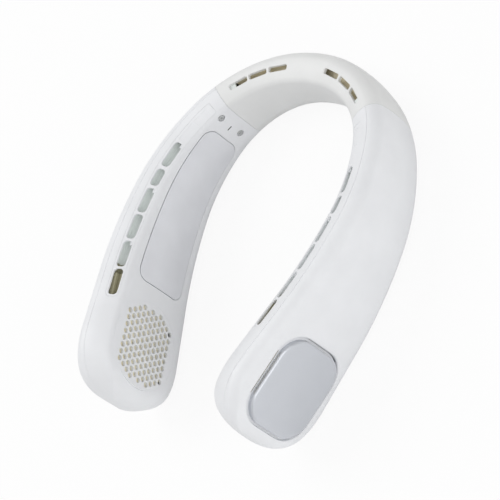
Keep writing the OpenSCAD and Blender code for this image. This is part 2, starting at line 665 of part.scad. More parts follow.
// The heat sink's fins end short of the cells
fin_h = cell_n(cell_places[0]) - sink_n - sink_base - fin_gap;
module battery_cells() {
    for (s = cell_places) on_arm(s, cell_n(s), -cell_drop) {
        translate([-cell_l / 2, 0, -cell_h / 2 + cell_edge]) cube([cell_l, cell_t, cell_h - 2 * cell_edge]);
        translate([-cell_l / 2, cell_edge, -cell_h / 2]) cube([cell_l, cell_t - 2 * cell_edge, cell_h]);
    }
}

// Boards with their parts
board_l = 24;
board_t = 1.2;
board_n = 11.6;
board_up = 10;
board_dn = 16;
standoff_r = 1.5;
standoff_l = 6.4;
chip_side = 7;
chip_t = 1;
module board() {
    on_arm(button_s, board_n) {
        translate([-board_l / 2, 0, -board_dn]) cube([board_l, board_t, board_up + board_dn]);
        translate([-board_l / 2 + chip_t, -chip_t, -board_up]) cube([chip_side, chip_t, chip_side]);
        for (z = [-board_dn / 2, board_up - 2 * standoff_r])
            translate([board_l / 2 - 2 * standoff_r, board_t, z])
                rotate([-90, 0, 0]) cylinder(r = standoff_r, h = standoff_l);
    }
}

// Power button, its switch and the charging socket, on the outer face of the left arm
button_z = 4;
button_flange = 1;
button_flange_t = 0.8;
button_flange_n = 19;
button_proud = 0.5;
button_stem_r = 1.6;
button_gap = 0.3;
switch_side = 4.6;
switch_t = 3;
plunger_r = 0.9;
plunger_l = 0.6;
button_floor_n = board_n + board_t + switch_t + plunger_l + button_gap + button_travel;
module on_button(n, z = button_z) {
    on_arm(button_s, n, z) rotate([-90, 0, 0]) children();
}
module power_button() {
    top = thick(button_s) + button_proud;
    color(silver) left() {
        on_button(button_flange_n) cylinder(r = button_r, h = top - button_flange_n);
        on_button(button_flange_n) cylinder(r = button_r + button_flange, h = button_flange_t);
        on_button(button_floor_n) cylinder(r = button_stem_r, h = button_flange_n - button_floor_n + over);
    }
}
module button_switch() {
    color(dark) left() on_button(board_n + board_t) {
        translate([-1, -1, 0] * switch_side / 2) cube([switch_side, switch_side, switch_t]);
        cylinder(r = plunger_r, h = switch_t + plunger_l);
    }
}
socket_z = -9;
socket_w = 8.9;
socket_h = 3.2;
socket_t = 0.35;
socket_sink = 0.9;
tongue_t = 0.7;
tongue_w = 6.6;
module at_socket() {
    on_button(board_n + board_t, socket_z) children();
}
module socket_hole() {
    at_socket() linear_extrude(arm_t) lozenge(socket_w + 2 * fit, socket_h + 2 * fit);
}
module charging_socket() {
    l = thick(button_s) - board_n - board_t - socket_sink;
    color(steel) left() at_socket() {
        difference() {
            linear_extrude(l) lozenge(socket_w, socket_h);
            translate([0, 0, over]) linear_extrude(l)
                lozenge(socket_w - 2 * socket_t, socket_h - 2 * socket_t);
        }
        translate([-tongue_w / 2, -tongue_t / 2, over / 2]) cube([tongue_w, tongue_t, l - over]);
    }
}

// Intake grille: a crowned disc with a close-packed field of round holes, ten pitches across
grille_t = 1.6;
grille_sink = 0.15;
filter_t = 0.7;
filter_r = 22.6;
field_rows = 5;
hole_sides = 24;
field_reach_share = 5.58;
crown_sides = 180;
crown_r = pow((tip_up + tip_dn) / 2, 2) / (2 * in_bow);
out_crown_r = pow((tip_up + tip_dn) / 2, 2) / (2 * out_bow);
// Solid between two depths under the crowned inner face, in the fan's axes
module crowned_slab(n0, n1) {
    translate([0, fan_z, 0]) difference() {
        translate([0, 0, crown_r]) rotate([0, 90, 0])
            cylinder(r = crown_r - n0, h = 2 * grille_r + 2 * over, center = true, $fn = crown_sides);
        translate([0, 0, crown_r]) rotate([0, 90, 0])
            cylinder(r = crown_r - n1, h = 2 * grille_r + 4 * over, center = true, $fn = crown_sides);
    }
}
module crowned_disc(r, n0, n1) {
    intersection() {
        crowned_slab(n0, n1);
        cylinder(r = r, h = n1 + 2 * in_bow);
    }
}
module hole_field() {
    for (i = [-field_rows:field_rows]) {
        shift = i % 2 == 0 ? 0 : 0.5;
        for (k = [-field_rows - 1:field_rows + 1]) let (w = i * sqrt(3) / 2, u = k + shift)
            if (abs(u) <= field_rows && norm([w, u]) <= field_reach_share)
                translate([u * hole_pitch, i * row_pitch]) circle(hole_r, $fn = hole_sides);
    }
}
module intake_grille() {
    on_fan() difference() {
        crowned_disc(grille_r, grille_sink, grille_t + grille_sink);
        translate([0, 0, -over]) linear_extrude(grille_t + in_bow + 2 * over) hole_field();
    }
}
module dust_filter() {
    n = grille_t + grille_sink + seat;
    on_fan() crowned_disc(filter_r, n, n + filter_t);
}

// Fan: inlet ring, scroll housing with a spoked back, stator, bearing, shaft and impeller
ring_n = 3.6;
ring_t = 0.9;
inlet_r = 18.6;
scroll_r = 22.6;
scroll_grow_share = 0.055;
scroll_t = 1.1;
scroll_steps = 30;
scroll_turn_angle = 270;
back_n = 16.3;
back_t = 1.2;
hub_mount_r = 9;
spoke_w = 2.4;
throat_l = 10.5;
step_n = 9.2;
step_h = 3.2;
function scroll_at(a, off) = let (r = scroll_r * (1 + scroll_grow_share * a / 90) + off)
    r * [cos(a + 180), sin(a + 180)];
scroll_end = scroll_at(scroll_turn_angle, 0).y;
module scroll_shape(off) {
    polygon(concat([for (k = [0:scroll_steps]) scroll_at(scroll_turn_angle * k / scroll_steps, off)],
        [[-scroll_r - throat_l, scroll_end + off], [-scroll_r - throat_l, -off]]));
}
// The scroll in front of its step, where it has to clear the shell's upper inner corner
module below_step(drop) {
    translate([-2 * scroll_r, -2 * scroll_r]) square([4 * scroll_r, 2 * scroll_r + scroll_end - step_h - drop]);
}
module scroll_part(off, drop) {
    intersection() {
        scroll_shape(off);
        translate([-2 * scroll_r, -2 * scroll_r]) square([4 * scroll_r, 2 * scroll_r + scroll_end + over - drop]);
    }
}
module inlet_ring() {
    on_fan(ring_n) difference() {
        cylinder(r = scroll_r, h = ring_t);
        translate([0, 0, -over]) cylinder(r = inlet_r, h = ring_t + 2 * over);
    }
}
module fan_housing() {
    on_fan() mirror([0, 1, 0]) {
        for (low = [0, 1]) translate([0, 0, low == 1 ? ring_n + ring_t + seat : step_n - over / 2])
            linear_extrude(low == 1 ? step_n - ring_n - ring_t - seat : back_n - step_n + over / 2)
                difference() {
                    scroll_part(0, low * step_h);
                    scroll_part(-scroll_t, low * (step_h + scroll_t));
                    translate([-scroll_r - throat_l - over, scroll_t])
                        square([over + 2 * scroll_t, scroll_end - 2 * scroll_t - low * step_h]);
                }
        translate([0, 0, step_n - scroll_t]) linear_extrude(scroll_t) difference() {
            scroll_shape(0);
            below_step(scroll_t);
        }
        translate([0, 0, back_n]) linear_extrude(back_t) {
            difference() {
                scroll_shape(0);
                circle(inlet_r);
            }
            circle(hub_mount_r);
            for (a = [45:90:315]) rotate(a) translate([0, -spoke_w / 2]) square([inlet_r + scroll_t, spoke_w]);
        }
    }
}
impeller_a = 5.4;
impeller_b = 15.2;
web_n = 9.6;
web_t = 1;
blade_in_r = 15.8;
blade_t = 0.7;
blade_bend = 6;
rim_t = 0.9;
rim_w = 1.3;
cup_r = 9.4;
cup_t = 1;
shaft_r = 1;
hub_r = 2.6;
hub_l = 2;
bearing_out_r = 2.2;
bearing_play = 0.03;
stator_r = 7.4;
stator_l = 5;
pole_w = 2.2;
poles = 6;
core_r = 3.6;
module blade() {
    intersection() {
        difference() {
            translate([(blade_in_r + impeller_r) / 2, blade_bend]) circle(blade_bend + blade_t);
            translate([(blade_in_r + impeller_r) / 2, blade_bend]) circle(blade_bend);
            translate([0, blade_bend]) square([2 * impeller_r, 2 * blade_bend]);
        }
        difference() {
            circle(impeller_r - rim_w / 4);
            circle(blade_in_r);
        }
    }
}
module impeller() {
    on_fan() {
        translate([0, 0, impeller_a]) linear_extrude(impeller_b - impeller_a)
            for (k = [0:blades - 1]) rotate(360 * k / blades) blade();
        for (n = [impeller_a - rim_t / 2, impeller_b - rim_t / 2]) translate([0, 0, n])
            linear_extrude(rim_t) difference() {
                circle(impeller_r);
                circle(impeller_r - rim_w);
            }
        translate([0, 0, web_n]) linear_extrude(web_t) difference() {
            circle(impeller_r - rim_w / 2);
            circle(cup_r - cup_t / 2);
        }
        translate([0, 0, impeller_a]) linear_extrude(cup_t) difference() {
            circle(cup_r);
            circle(shaft_r);
        }
        translate([0, 0, impeller_a + cup_t / 2]) linear_extrude(impeller_b - impeller_a - cup_t / 2)
            difference() {
                circle(cup_r);
                circle(cup_r - cup_t);
            }
        translate([0, 0, impeller_a + cup_t / 2]) linear_extrude(hub_l) difference() {
            circle(hub_r);
            circle(shaft_r);
        }
    }
}
module fan_shaft() {
    on_fan(impeller_a) cylinder(r = shaft_r, h = back_n - impeller_a - fit);
}
bearing_n = impeller_a + cup_t / 2 + hub_l + slip;
module fan_bearing() {
    on_fan(bearing_n) linear_extrude(back_n - bearing_n) difference() {
        circle(bearing_out_r);
        circle(shaft_r + bearing_play);
    }
}
module fan_stator() {
    on_fan(bearing_n + fit) linear_extrude(back_n - bearing_n - fit) difference() {
        circle(core_r);
        circle(bearing_out_r);
    }
    on_fan(web_n - web_t) linear_extrude(stator_l) difference() {
        union() {
            circle(core_r + fit);
            for (k = [0:poles - 1]) rotate(360 * k / poles) {
                translate([core_r - fit, -pole_w / 2]) square([stator_r - core_r, pole_w]);
                intersection() {
                    difference() {
                        circle(stator_r + fit);
                        circle(stator_r - fit - pole_w / 4);
                    }
                    translate([0, -pole_w]) square([2 * stator_r, 2 * pole_w]);
                }
            }
        }
        circle(bearing_out_r);
    }
}

// Outer cap, its well and the intake behind it
cap_back = 1.7;
cap_s = fan_s - cap_back;
cap_z = -0.3;
well_l = cap_l + 2 * well_gap;
well_h = cap_h + 2 * well_gap;
well_corner_r = cap_corner_r + well_gap;
tray_n = 21;
tray_t = 1;
cap_chamfer = 0.9;
intake_l = 27;
intake_more = 1;
intake_w = well_gap + intake_more;
post_r = 2;
post_at = 15;
felt_t = 0.6;
cap_sides = 32;
module tray_slots(w, l) {
    for (k = [-1, 1]) translate([0, k * (well_h - intake_w) / 2]) lozenge(l, w);
}
module well_tray() {
    on_cap(tray_n) linear_extrude(tray_t) difference() {
        round_rect(well_l - 2 * fit, well_h - 2 * fit, well_corner_r - fit);
        tray_slots(intake_w, intake_l);
    }
    on_fan(back_n + back_t) for (x = [-1, 1], y = [-1, 1]) translate([x * post_at, y * post_at])
        cylinder(r = post_r, h = tray_n - back_n - back_t + seat);
}
module well_felt() {
    on_cap(tray_n - felt_t) linear_extrude(felt_t) tray_slots(intake_w + 2 * over, intake_l + 2 * over);
}
module outer_cap() {
    on_cap() intersection() {
        hull() {
            translate([0, 0, tray_n + tray_t])
                linear_extrude(arm_t - tray_n - tray_t - out_bow / 2 - cap_chamfer)
                    round_rect(cap_l, cap_h, cap_corner_r, $fn = cap_sides);
            translate([0, 0, tray_n + tray_t]) linear_extrude(arm_t - tray_n - tray_t)
                round_rect(cap_l - 2 * cap_chamfer, cap_h - 2 * cap_chamfer, cap_corner_r - cap_chamfer,
                    $fn = cap_sides);
        }
        translate([0, cap_z, arm_t - out_crown_r]) rotate([0, 90, 0])
            cylinder(r = out_crown_r, h = 2 * cap_l, center = true, $fn = crown_sides);
    }
}

module joint_screws() {
    for (z = screw_zs) {
        at_face(screw_s, z, well_depth - screw_head_t) difference() {
            cylinder(r = screw_head_r, h = screw_head_t);
            translate([0, 0, -over]) cylinder(r = socket_r, h = over + screw_head_t / 2, $fn = 6);
        }
        at_face(screw_s, z, well_depth) cylinder(r = screw_r, h = screw_l);
    }
}
module light_guide() {
    at_face(light_s, light_z) linear_extrude(wall) square([light_l, light_w] - [seat, seat], center = true);
}

neck_bridge();
bridge_duct();
bridge_wire();
color(white) left() inner_shell();  // left_inner_shell
color(white) left() outer_shell(true);  // left_outer_shell
color(white) right() inner_shell();  // right_inner_shell
color(white) right() outer_shell(false);  // right_outer_shell
color(white) left() vent_strip();  // left_vent_strip
color(white) right() vent_strip();  // right_vent_strip
color(grey) left() joint_frame();  // left_joint_frame
color(grey) right() joint_frame();  // right_joint_frame
color(steel) left() joint_screws();  // left_joint_screws
color(steel) right() joint_screws();  // right_joint_screws
color(glow) left() light_guide();  // left_light_guide
color(glow) right() light_guide();  // right_light_guide
color(silver) left() cooling_plate();  // left_cooling_plate
color(silver) right() cooling_plate();  // right_cooling_plate
color(white) left() cooler_module();  // left_cooler_module
color(white) right() cooler_module();  // right_cooler_module
color(steel) left() heat_sink();  // left_heat_sink
color(steel) right() heat_sink();  // right_heat_sink
color(grey) left() air_duct();  // left_air_duct
color(grey) right() air_duct();  // right_air_duct
color(cell_blue) left() battery_cells();  // left_battery_cells
color(cell_blue) right() battery_cells();  // right_battery_cells
color(board_green) left() board();  // main_board
color(board_green) right() board();  // driver_board
power_button();
button_switch();
charging_socket();
color(white) left() intake_grille();  // left_intake_grille
color(white) right() intake_grille();  // right_intake_grille
color(cream) left() dust_filter();  // left_dust_filter
color(cream) right() dust_filter();  // right_dust_filter
color(olive) left() inlet_ring();  // left_inlet_ring
color(olive) right() inlet_ring();  // right_inlet_ring
color(olive) left() fan_housing();  // left_fan_housing
color(olive) right() fan_housing();  // right_fan_housing
color(copper) left() fan_stator();  // left_fan_stator
color(copper) right() fan_stator();  // right_fan_stator
color(steel) left() fan_bearing();  // left_fan_bearing
color(steel) right() fan_bearing();  // right_fan_bearing
color(steel) left() fan_shaft();  // left_fan_shaft
color(steel) right() fan_shaft();  // right_fan_shaft
color(dark) left() impeller();  // left_impeller
color(dark) right() impeller();  // right_impeller
color(white) left() well_tray();  // left_well_tray
color(white) right() well_tray();  // right_well_tray
color(cream) left() well_felt();  // left_well_felt
color(cream) right() well_felt();  // right_well_felt
color(silver) left() outer_cap();  // left_outer_cap
color(silver) right() outer_cap();  // right_outer_cap
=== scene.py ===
# %% [markdown]
# # Electric neck fan
# A neck fan is a U-shaped band of moulded plastic that lies round the neck. Air is drawn in at the
# ends of its arms and blown out of slots along the upper edge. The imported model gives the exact
# construction, and this scene gives it its finish: smooth moulded shells, crisp slots, satin metal
# plates and soft studio light.
#
# Nearly every piece here is a function of two parameters on the same band, so the band is worked
# out first, and each shell, strip, plate and grille is then laid on it.

import math

import bmesh
import bpy
import numpy as np
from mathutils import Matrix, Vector


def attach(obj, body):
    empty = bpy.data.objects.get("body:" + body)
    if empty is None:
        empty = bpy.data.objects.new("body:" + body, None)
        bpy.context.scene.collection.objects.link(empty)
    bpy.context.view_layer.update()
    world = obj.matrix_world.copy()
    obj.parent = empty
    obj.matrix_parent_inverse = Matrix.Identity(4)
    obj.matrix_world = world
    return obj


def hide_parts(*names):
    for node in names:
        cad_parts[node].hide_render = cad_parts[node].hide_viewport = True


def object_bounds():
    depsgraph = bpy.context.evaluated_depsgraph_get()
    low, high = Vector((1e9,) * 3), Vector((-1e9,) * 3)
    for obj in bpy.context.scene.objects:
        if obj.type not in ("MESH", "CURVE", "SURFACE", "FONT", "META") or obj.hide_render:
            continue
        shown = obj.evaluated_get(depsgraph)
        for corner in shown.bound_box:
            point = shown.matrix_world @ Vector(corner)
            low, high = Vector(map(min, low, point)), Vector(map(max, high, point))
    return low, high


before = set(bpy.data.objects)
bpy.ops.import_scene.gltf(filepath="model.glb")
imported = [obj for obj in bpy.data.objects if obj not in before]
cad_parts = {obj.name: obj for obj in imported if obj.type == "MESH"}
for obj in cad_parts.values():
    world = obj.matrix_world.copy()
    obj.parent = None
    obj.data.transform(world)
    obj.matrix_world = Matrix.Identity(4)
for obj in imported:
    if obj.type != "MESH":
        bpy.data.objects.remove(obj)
cad_low, cad_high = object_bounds()
print("CAD nodes:", len(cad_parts))

# %% [markdown]
# ## The line of the band
# Seen from above, the inner face of the band is a chain of arcs that touch smoothly: a wide one at
# the nape, a tight one at each shoulder, then wider and wider ones down the arms. The last run is
# straight, which is an arc of a very large radius. A place on the line is its distance s from the
# nape in millimetres. Sampling such a line as whole arrays is much quicker than stepping along it,
# and the radii stay readable.

# %% Plan of the inner face
STRAIGHT = 1e6
ARC_RADII = np.array([78.0, 55.0, 96.0, 248.0, STRAIGHT])
ARC_TURNS = np.radians([8.0, 60.0, 25.0, 12.0])
BAND_LENGTH = 229.7
ARC_STARTS = np.concatenate([[0.0], np.cumsum(ARC_RADII[:-1] * ARC_TURNS)])
ARC_HEADINGS = np.concatenate([[0.0], np.cumsum(ARC_TURNS)])


def arc_offset(radius, start, end):
    """Way travelled on an arc: radius times the change in sine and in cosine of the heading."""
    return radius * (np.sin(end) - np.sin(start)), radius * (np.cos(end) - np.cos(start))


STEP_X, STEP_Y = arc_offset(ARC_RADII[:-1], ARC_HEADINGS[:-1], ARC_HEADINGS[1:])
START_X = np.concatenate([[0.0], np.cumsum(STEP_X)])
START_Y = np.concatenate([[0.0], np.cumsum(STEP_Y)])


def band_line(s):
    """Place and heading at s: the start of its arc, plus the way travelled on that arc."""
    s = np.asarray(s, float)
    way = np.abs(s)
    arc = np.searchsorted(ARC_STARTS, way, side="right") - 1
    heading = ARC_HEADINGS[arc] + (way - ARC_STARTS[arc]) / ARC_RADII[arc]
    dx, dy = arc_offset(ARC_RADII[arc], ARC_HEADINGS[arc], heading)
    side = np.where(s < 0, -1.0, 1.0)
    return side * (START_X[arc] + dx), START_Y[arc] + dy, side * heading


FAN_S, FAN_Z = 197.5, 1.9
REACH = -band_line(FAN_S)[1]
print("inner face runs", round(float(REACH), 1), "mm forward from the nape to the fans")

# %% [markdown]
# ## The section of the band
# The section grows from a slim one at the nape to a tall one at the fans. Its lower edge is a
# straight line, so its depth grows evenly, and its upper edge bows a little. Both faces are crowned,
# like most thin mouldings, because a dead flat face looks dented in the light. The upper side falls
# towards the neck in one wide arc that gets steeper and steeper, and a tight arc then turns it into
# the inner face. The two arcs meet at the same slope, so the light runs over them without a break.

# %% Section sizes
NAPE_THICK, ARM_THICK = 20.7, 24.8
NAPE_UP, FAN_UP, UP_BOW = 18.75, 33.4, 0.22
NAPE_DOWN, FAN_DOWN = 19.4, 34.0
TOP_IN_R, TOP_OUT_R, LOW_IN_R, LOW_OUT_R = 4.0, 6.3, 11.5, 7.5
TOP_FLAT, TOP_STEEP = math.radians(4.0), math.radians(32.0)
IN_CROWN, OUT_CROWN = 2.0, 2.5
NAPE_PART, ARM_PART = 14.0, 16.1
GROW_FROM, GROW_TO = 22.0, 154.0
WALL = 2.0


def half_up(y):
    """Upper half height: a straight growth along the arm plus a shallow parabola."""
    u = -y / REACH
    return NAPE_UP + (FAN_UP - NAPE_UP) * u + 4 * UP_BOW * u * (1 - u)


def half_down(y):
    """Lower half height: a straight growth along the arm."""
    return NAPE_DOWN + (FAN_DOWN - NAPE_DOWN) * -y / REACH


def grown(s):
    """Growth share: zero at the nape, one on the arms, with a smooth start and end."""
    u = np.clip((np.abs(s) - GROW_FROM) / (GROW_TO - GROW_FROM), 0, 1)
    return u * u * (3 - 2 * u)


def thick(s):
    """Thickness of the band at s."""
    return NAPE_THICK + (ARM_THICK - NAPE_THICK) * grown(s)


def part_depth(s):
    """Depth of the parting line between the inner and the outer shell at s."""
    return NAPE_PART + (ARM_PART - NAPE_PART) * grown(s)


def height_share(s, z):
    """A height over the middle plane as a share of the band's half height there."""
    y = band_line(s)[1]
    return z / np.where(z > 0, half_up(y), half_down(y))


def top_reach(s):
    """Radius and length of the wide arc. It leaves the parting line at the flat slope, and at the
    steep one it meets the tight arc of the corner, which ends on the inner face. The change in the
    sine of the slope, times the radius, is the depth that the wide arc covers."""
    covered = part_depth(s) - TOP_IN_R * (1 - math.sin(TOP_STEEP))
    radius = covered / (math.sin(TOP_STEEP) - math.sin(TOP_FLAT))
    return radius, radius * (TOP_STEEP - TOP_FLAT)


def top_point(s, way, off):
    """Depth and height share at a way from the parting line: the slope grows by way over radius,
    first on the wide arc and then on the corner. An offset shortens both radii."""
    radius, length = top_reach(s)
    up = half_up(band_line(s)[1])
    slope = TOP_FLAT + np.minimum(way, length) / radius + np.maximum(way - length, 0) / TOP_IN_R
    n = part_depth(s) + radius * math.sin(TOP_FLAT)
    z = up - radius * math.cos(TOP_FLAT)
    corner = slope > TOP_STEEP
    n = np.where(corner, n - (radius - TOP_IN_R) * math.sin(TOP_STEEP), n)
    z = np.where(corner, z + (radius - TOP_IN_R) * math.cos(TOP_STEEP), z)
    arm = np.where(corner, TOP_IN_R, radius) - off
    return n - arm * np.sin(slope), (z + arm * np.cos(slope)) / up


def band_place(s, depth, height):
    """A point of the band about its middle plane, in millimetres. The depth is crowned by the
    square of the height share, then laid square to the line, and the height share is taken up at
    the place where that leads."""
    x, y, heading = band_line(s)
    t = thick(s)
    n = depth + IN_CROWN * height**2 * (1 - depth / t) - OUT_CROWN * height**2 * depth / t
    x, y = x + n * np.sin(heading), y + n * np.cos(heading)
    z = height * np.where(height > 0, half_up(y), half_down(y))
    return np.stack(np.broadcast_arrays(x, y, z), axis=-1)


# %% [markdown]
# ## Lying down
# The band was worked out about its own middle plane. The real thing lies on its straight lower edge,
# so every point is turned about X until that edge is level, lifted onto the floor, and moved so that
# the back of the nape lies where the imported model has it. All the pieces below share that frame.

# %% From the middle plane to the floor
LAY_TURN = math.atan((FAN_DOWN - NAPE_DOWN) / REACH)
LAY_LIFT = NAPE_DOWN * math.cos(LAY_TURN)
NAPE_SPAN, NAPE_SAMPLES = 0.6, 241
MM = 0.001


def turned(points):
    """Turn about X: y and z mix by the cosine and the sine of the lay."""
    c, s = math.cos(LAY_TURN), math.sin(LAY_TURN)
    x, y, z = points[..., 0], points[..., 1], points[..., 2]
    return np.stack([x, y * c + z * s, z * c - y * s], axis=-1)


TIP_Y = turned(band_place(BAND_LENGTH, part_depth(BAND_LENGTH), 0.0))[1]
nape_heights = np.linspace(-NAPE_SPAN, NAPE_SPAN, NAPE_SAMPLES)
NAPE_Y = turned(band_place(0.0, thick(0.0), nape_heights))[:, 1].max()
LAY_MIDDLE = NAPE_Y - cad_high.y / MM
print("lay turn", round(math.degrees(LAY_TURN), 2), "deg; length", round(NAPE_Y - TIP_Y, 1), "mm")


def band_point(s, depth, height):
    """A point of the band where it lies on the floor, in metres."""
    moved = turned(band_place(s, depth, height)) + np.array([0.0, -LAY_MIDDLE, LAY_LIFT])
    return moved * MM


# %% [markdown]
# ## Meshes from grids
# A surface with two parameters is a grid of points, and each cell of the grid is a face. Closed
# solids are joined from such grids. The left side's pieces mirror the right side's, which would turn
# them inside out, so every solid has its faces turned outwards when it is made.


# %% Grid helpers
def grid_faces(rows, columns, first=0, closed=False):
    """Faces of a grid: each joins a point, its neighbours along and across, and the one between."""
    i, j = np.meshgrid(np.arange(rows - 1), np.arange(columns - (not closed)), indexing="ij")
    k = (j + 1) % columns
    near, far = i * columns, (i + 1) * columns
    return np.stack([near + j, near + k, far + k, far + j], axis=-1).reshape(-1, 4) + first


def strip_faces(a, b):
    """Faces between two rows of point numbers of the same length."""
    return np.stack([a[:-1], b[:-1], b[1:], a[1:]], axis=-1)


def ring_faces(a, b):
    """Faces between two closed rows of point numbers."""
    return strip_faces(np.append(a, a[0]), np.append(b, b[0]))


def fan_faces(rim, middle):
    """Triangles between a closed rim and the point at its middle."""
    return np.stack([rim, np.roll(rim, -1), np.full(len(rim), middle)], axis=-1)


def mirrored(points, faces, side):
    """Points on the asked side of the band: x times one or minus one. The faces stay as they are."""
    return points * np.array([side, 1, 1]), faces


def several(solids):
    """Several closed solids as one: their points in a row, and their faces shifted to match."""
    counts = np.cumsum([0] + [len(points) for points, _ in solids])
    return (
        np.concatenate([points for points, _ in solids]),
        [block + first for first, (_, faces) in zip(counts, solids) for block in faces],
    )


def mesh_object(name, points, faces):
    """An object of these points and faces, at the origin, with all its faces turned outwards."""
    mesh = bpy.data.meshes.new(name)
    mesh.from_pydata(points.tolist(), [], [f for block in faces for f in block.tolist()])
    shape = bmesh.new()
    shape.from_mesh(mesh)
    bmesh.ops.recalc_face_normals(shape, faces=shape.faces)
    shape.to_mesh(mesh)
    shape.free()
    piece = bpy.data.objects.new(name, mesh)
    bpy.context.scene.collection.objects.link(piece)
    return piece


# %% [markdown]
# ## Carving
# Slots and wells go through curved walls, and a boolean cut on a dense grid leaves their edges
# crisp and the surface round them undisturbed. The cut is made at once, and the cutter is thrown
# away, so that the finished piece is a plain mesh.


# %% Cut and shade
def carve(piece, points, faces, operation="DIFFERENCE"):
    """Takes a closed solid out of a piece, or with UNION adds it to the piece."""
    cutter = mesh_object("cutter", points, faces)
    cut = piece.modifiers.new("cut", "BOOLEAN")
    cut.operation, cut.solver, cut.object = operation, "MANIFOLD", cutter
    graph = bpy.context.evaluated_depsgraph_get()
    shape = bpy.data.meshes.new_from_object(piece.evaluated_get(graph))
    piece.modifiers.clear()
    old, piece.data = piece.data, shape
    bpy.data.meshes.remove(old)
    bpy.data.objects.remove(cutter)


def finished(piece, nodes, material, body="frame", sharp=32):
    """Smooth shading with sharp edges kept, a material, and the piece's place in the frame."""
    piece.data.shade_smooth()
    piece.data.set_sharp_from_angle(angle=math.radians(sharp))
    piece.data.materials.clear()
    piece.data.materials.append(material)
    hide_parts(*nodes)
    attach(piece, body)
    print(piece.name, len(piece.data.polygons), "faces")


# %% [markdown]
# ## Surfaces to lay things on
# A vent, a screw well or a plate is placed by its own two measures on one of the band's faces. Each
# function below takes those two measures and an offset into the wall, so the same outline can be
# laid at any depth, and a cutter follows the curve of the wall that it goes through.


# %% The band's faces as surfaces
def top_side(middle):
    """The upper side: v runs towards the parting line, from a place at this distance from it."""

    def surface(s, v, off):
        return band_point(s, *top_point(s, middle - v, off))

    return surface


def inner_face(s, v, off):
    """The face towards the neck: v is the height over the middle plane."""
    return band_point(s, off + 0 * v, height_share(s, v))


def outer_face(s, v, off):
    """The face away from the neck: v is the height over the middle plane."""
    return band_point(s, thick(s) - off + 0 * v, height_share(s, v))


VENT_SURFACE, BRIDGE_VENT_SURFACE = top_side(9.87), top_side(5.9)

# %% [markdown]
# ## Plugs and slabs
# A plug is an outline laid at several depths, each a little wider or narrower, with both ends
# closed. As a cutter it leaves a hole with a softened mouth, like a moulded one. A slab fills the
# space between two depths of a surface, inside limits that may change along the band. Vent strip,
# cooling plate and their pockets are slabs. A channel carries one closed section along the band.


# %% Outlines and plugs
def rounded_outline(length, width, radius, grow=0.0, count=12):
    """Rounded rectangle: four quarter circles, moved to its corners. grow widens it all round."""
    turn = np.linspace(0, math.pi / 2, count)
    angles = np.concatenate([turn + k * math.pi / 2 for k in range(4)])
    along = np.repeat([1, -1, -1, 1], count) * (length / 2 - radius)
    up = np.repeat([1, 1, -1, -1], count) * (width / 2 - radius)
    reach = radius + grow
    return np.stack([along + reach * np.cos(angles), up + reach * np.sin(angles)], axis=-1)


def round_size(radius, keep=0.0):
    """Size of a round outline. keep leaves its corners a hair of straight edge between them."""
    return 2 * radius, 2 * radius, radius - keep


def stack(surface, place, outlines, depths, end_depths):
    """A closed solid: outlines laid about a place of a surface, each at its own depth, and a point
    at the middle of each end."""
    s, v = place
    rings = [surface(s + o[:, 0], v + o[:, 1], off) for o, off in zip(outlines, depths)]
    ends = [surface(np.array([s]), np.array([v]), off) for off in end_depths]
    k, m = len(rings), len(rings[0])
    rim = np.arange(m)
    faces = [
        grid_faces(k, m, closed=True),
        fan_faces(rim[::-1], m * k),
        fan_faces(rim + m * (k - 1), m * k + 1),
    ]
    return np.concatenate(rings + ends), faces


def plug(surface, place, size, profile, count=12):
    """The outline of a size at a place of a surface, at each (depth, growth) of a profile."""
    outlines = [rounded_outline(*size, grow=grow, count=count) for _, grow in profile]
    depths = [off for off, _ in profile]
    return stack(surface, place, outlines, depths, (depths[0], depths[-1]))


def plugs_along(surface, spans, width, radius, profile):
    """A plug for each span of a row of slots, as one solid."""
    return several(
        [plug(surface, ((a + b) / 2, 0.0), (b - a, width, radius), profile) for a, b in spans]
    )


# %% Slabs and channels
def slab(surface, stations, low, high, front, back, across):
    """Between two depths of a surface, from low to high at each station."""
    share = np.linspace(0, 1, across)
    s = np.repeat(stations[:, None], across, axis=1)
    v = low[:, None] * (1 - share) + high[:, None] * share
    k = len(stations)
    points = np.concatenate([surface(s, v, off).reshape(-1, 3) for off in (front, back)])
    a = np.arange(k * across).reshape(k, across)
    b = a + k * across
    faces = [
        grid_faces(k, across),
        grid_faces(k, across, first=k * across)[:, ::-1],
        strip_faces(b[0], a[0]),
        strip_faces(a[-1], b[-1]),
        strip_faces(a[:, 0], b[:, 0]),
        strip_faces(b[:, -1], a[:, -1]),
    ]
    return points, faces


def channel(surface, stations, section):
    """A bar whose closed section, a list of (v, depth) corners, is carried along the stations."""
    v, off = np.array(section).T
    m, k = len(v), len(stations)
    s = np.repeat(stations[:, None], m, axis=1)
    points = surface(s, np.broadcast_to(v, s.shape), np.broadcast_to(off, s.shape))
    rim = np.arange(m)
    faces = [grid_faces(k, m, closed=True), rim[None, ::-1], rim[None] + m * (k - 1)]
    return points.reshape(-1, 3), faces


def trough(low, high, mouth, depth, wall, radius=1.2, count=6):
    """Section of a gutter: down inside one side, round the two inner corners and up the other,
    then back along the outside."""
    turn = np.linspace(0, math.pi / 2, count)
    pulled = [(radius * (1 - math.cos(a)), depth - radius * (1 - math.sin(a))) for a in turn]
    left = [(low + pull, off) for pull, off in pulled]
    right = [(high - pull, off) for pull, off in pulled[::-1]]
    outside = [(high + wall, mouth), (high + wall, depth + wall)]
    outside += [(low - wall, depth + wall), (low - wall, mouth)]
    return [(low, mouth), *left, *right, (high, mouth), *outside]


def eased_stations(start, end, radius, middle=60, turn=10):
    """Stations along a slab, crowded at both ends so that its corners come out round."""
    c = radius * (1 - np.cos(np.linspace(0, math.pi / 2, turn)))
    even = np.linspace(start + radius, end - radius, middle)[1:-1]
    return np.concatenate([start + c, even, (end - c)[::-1]])


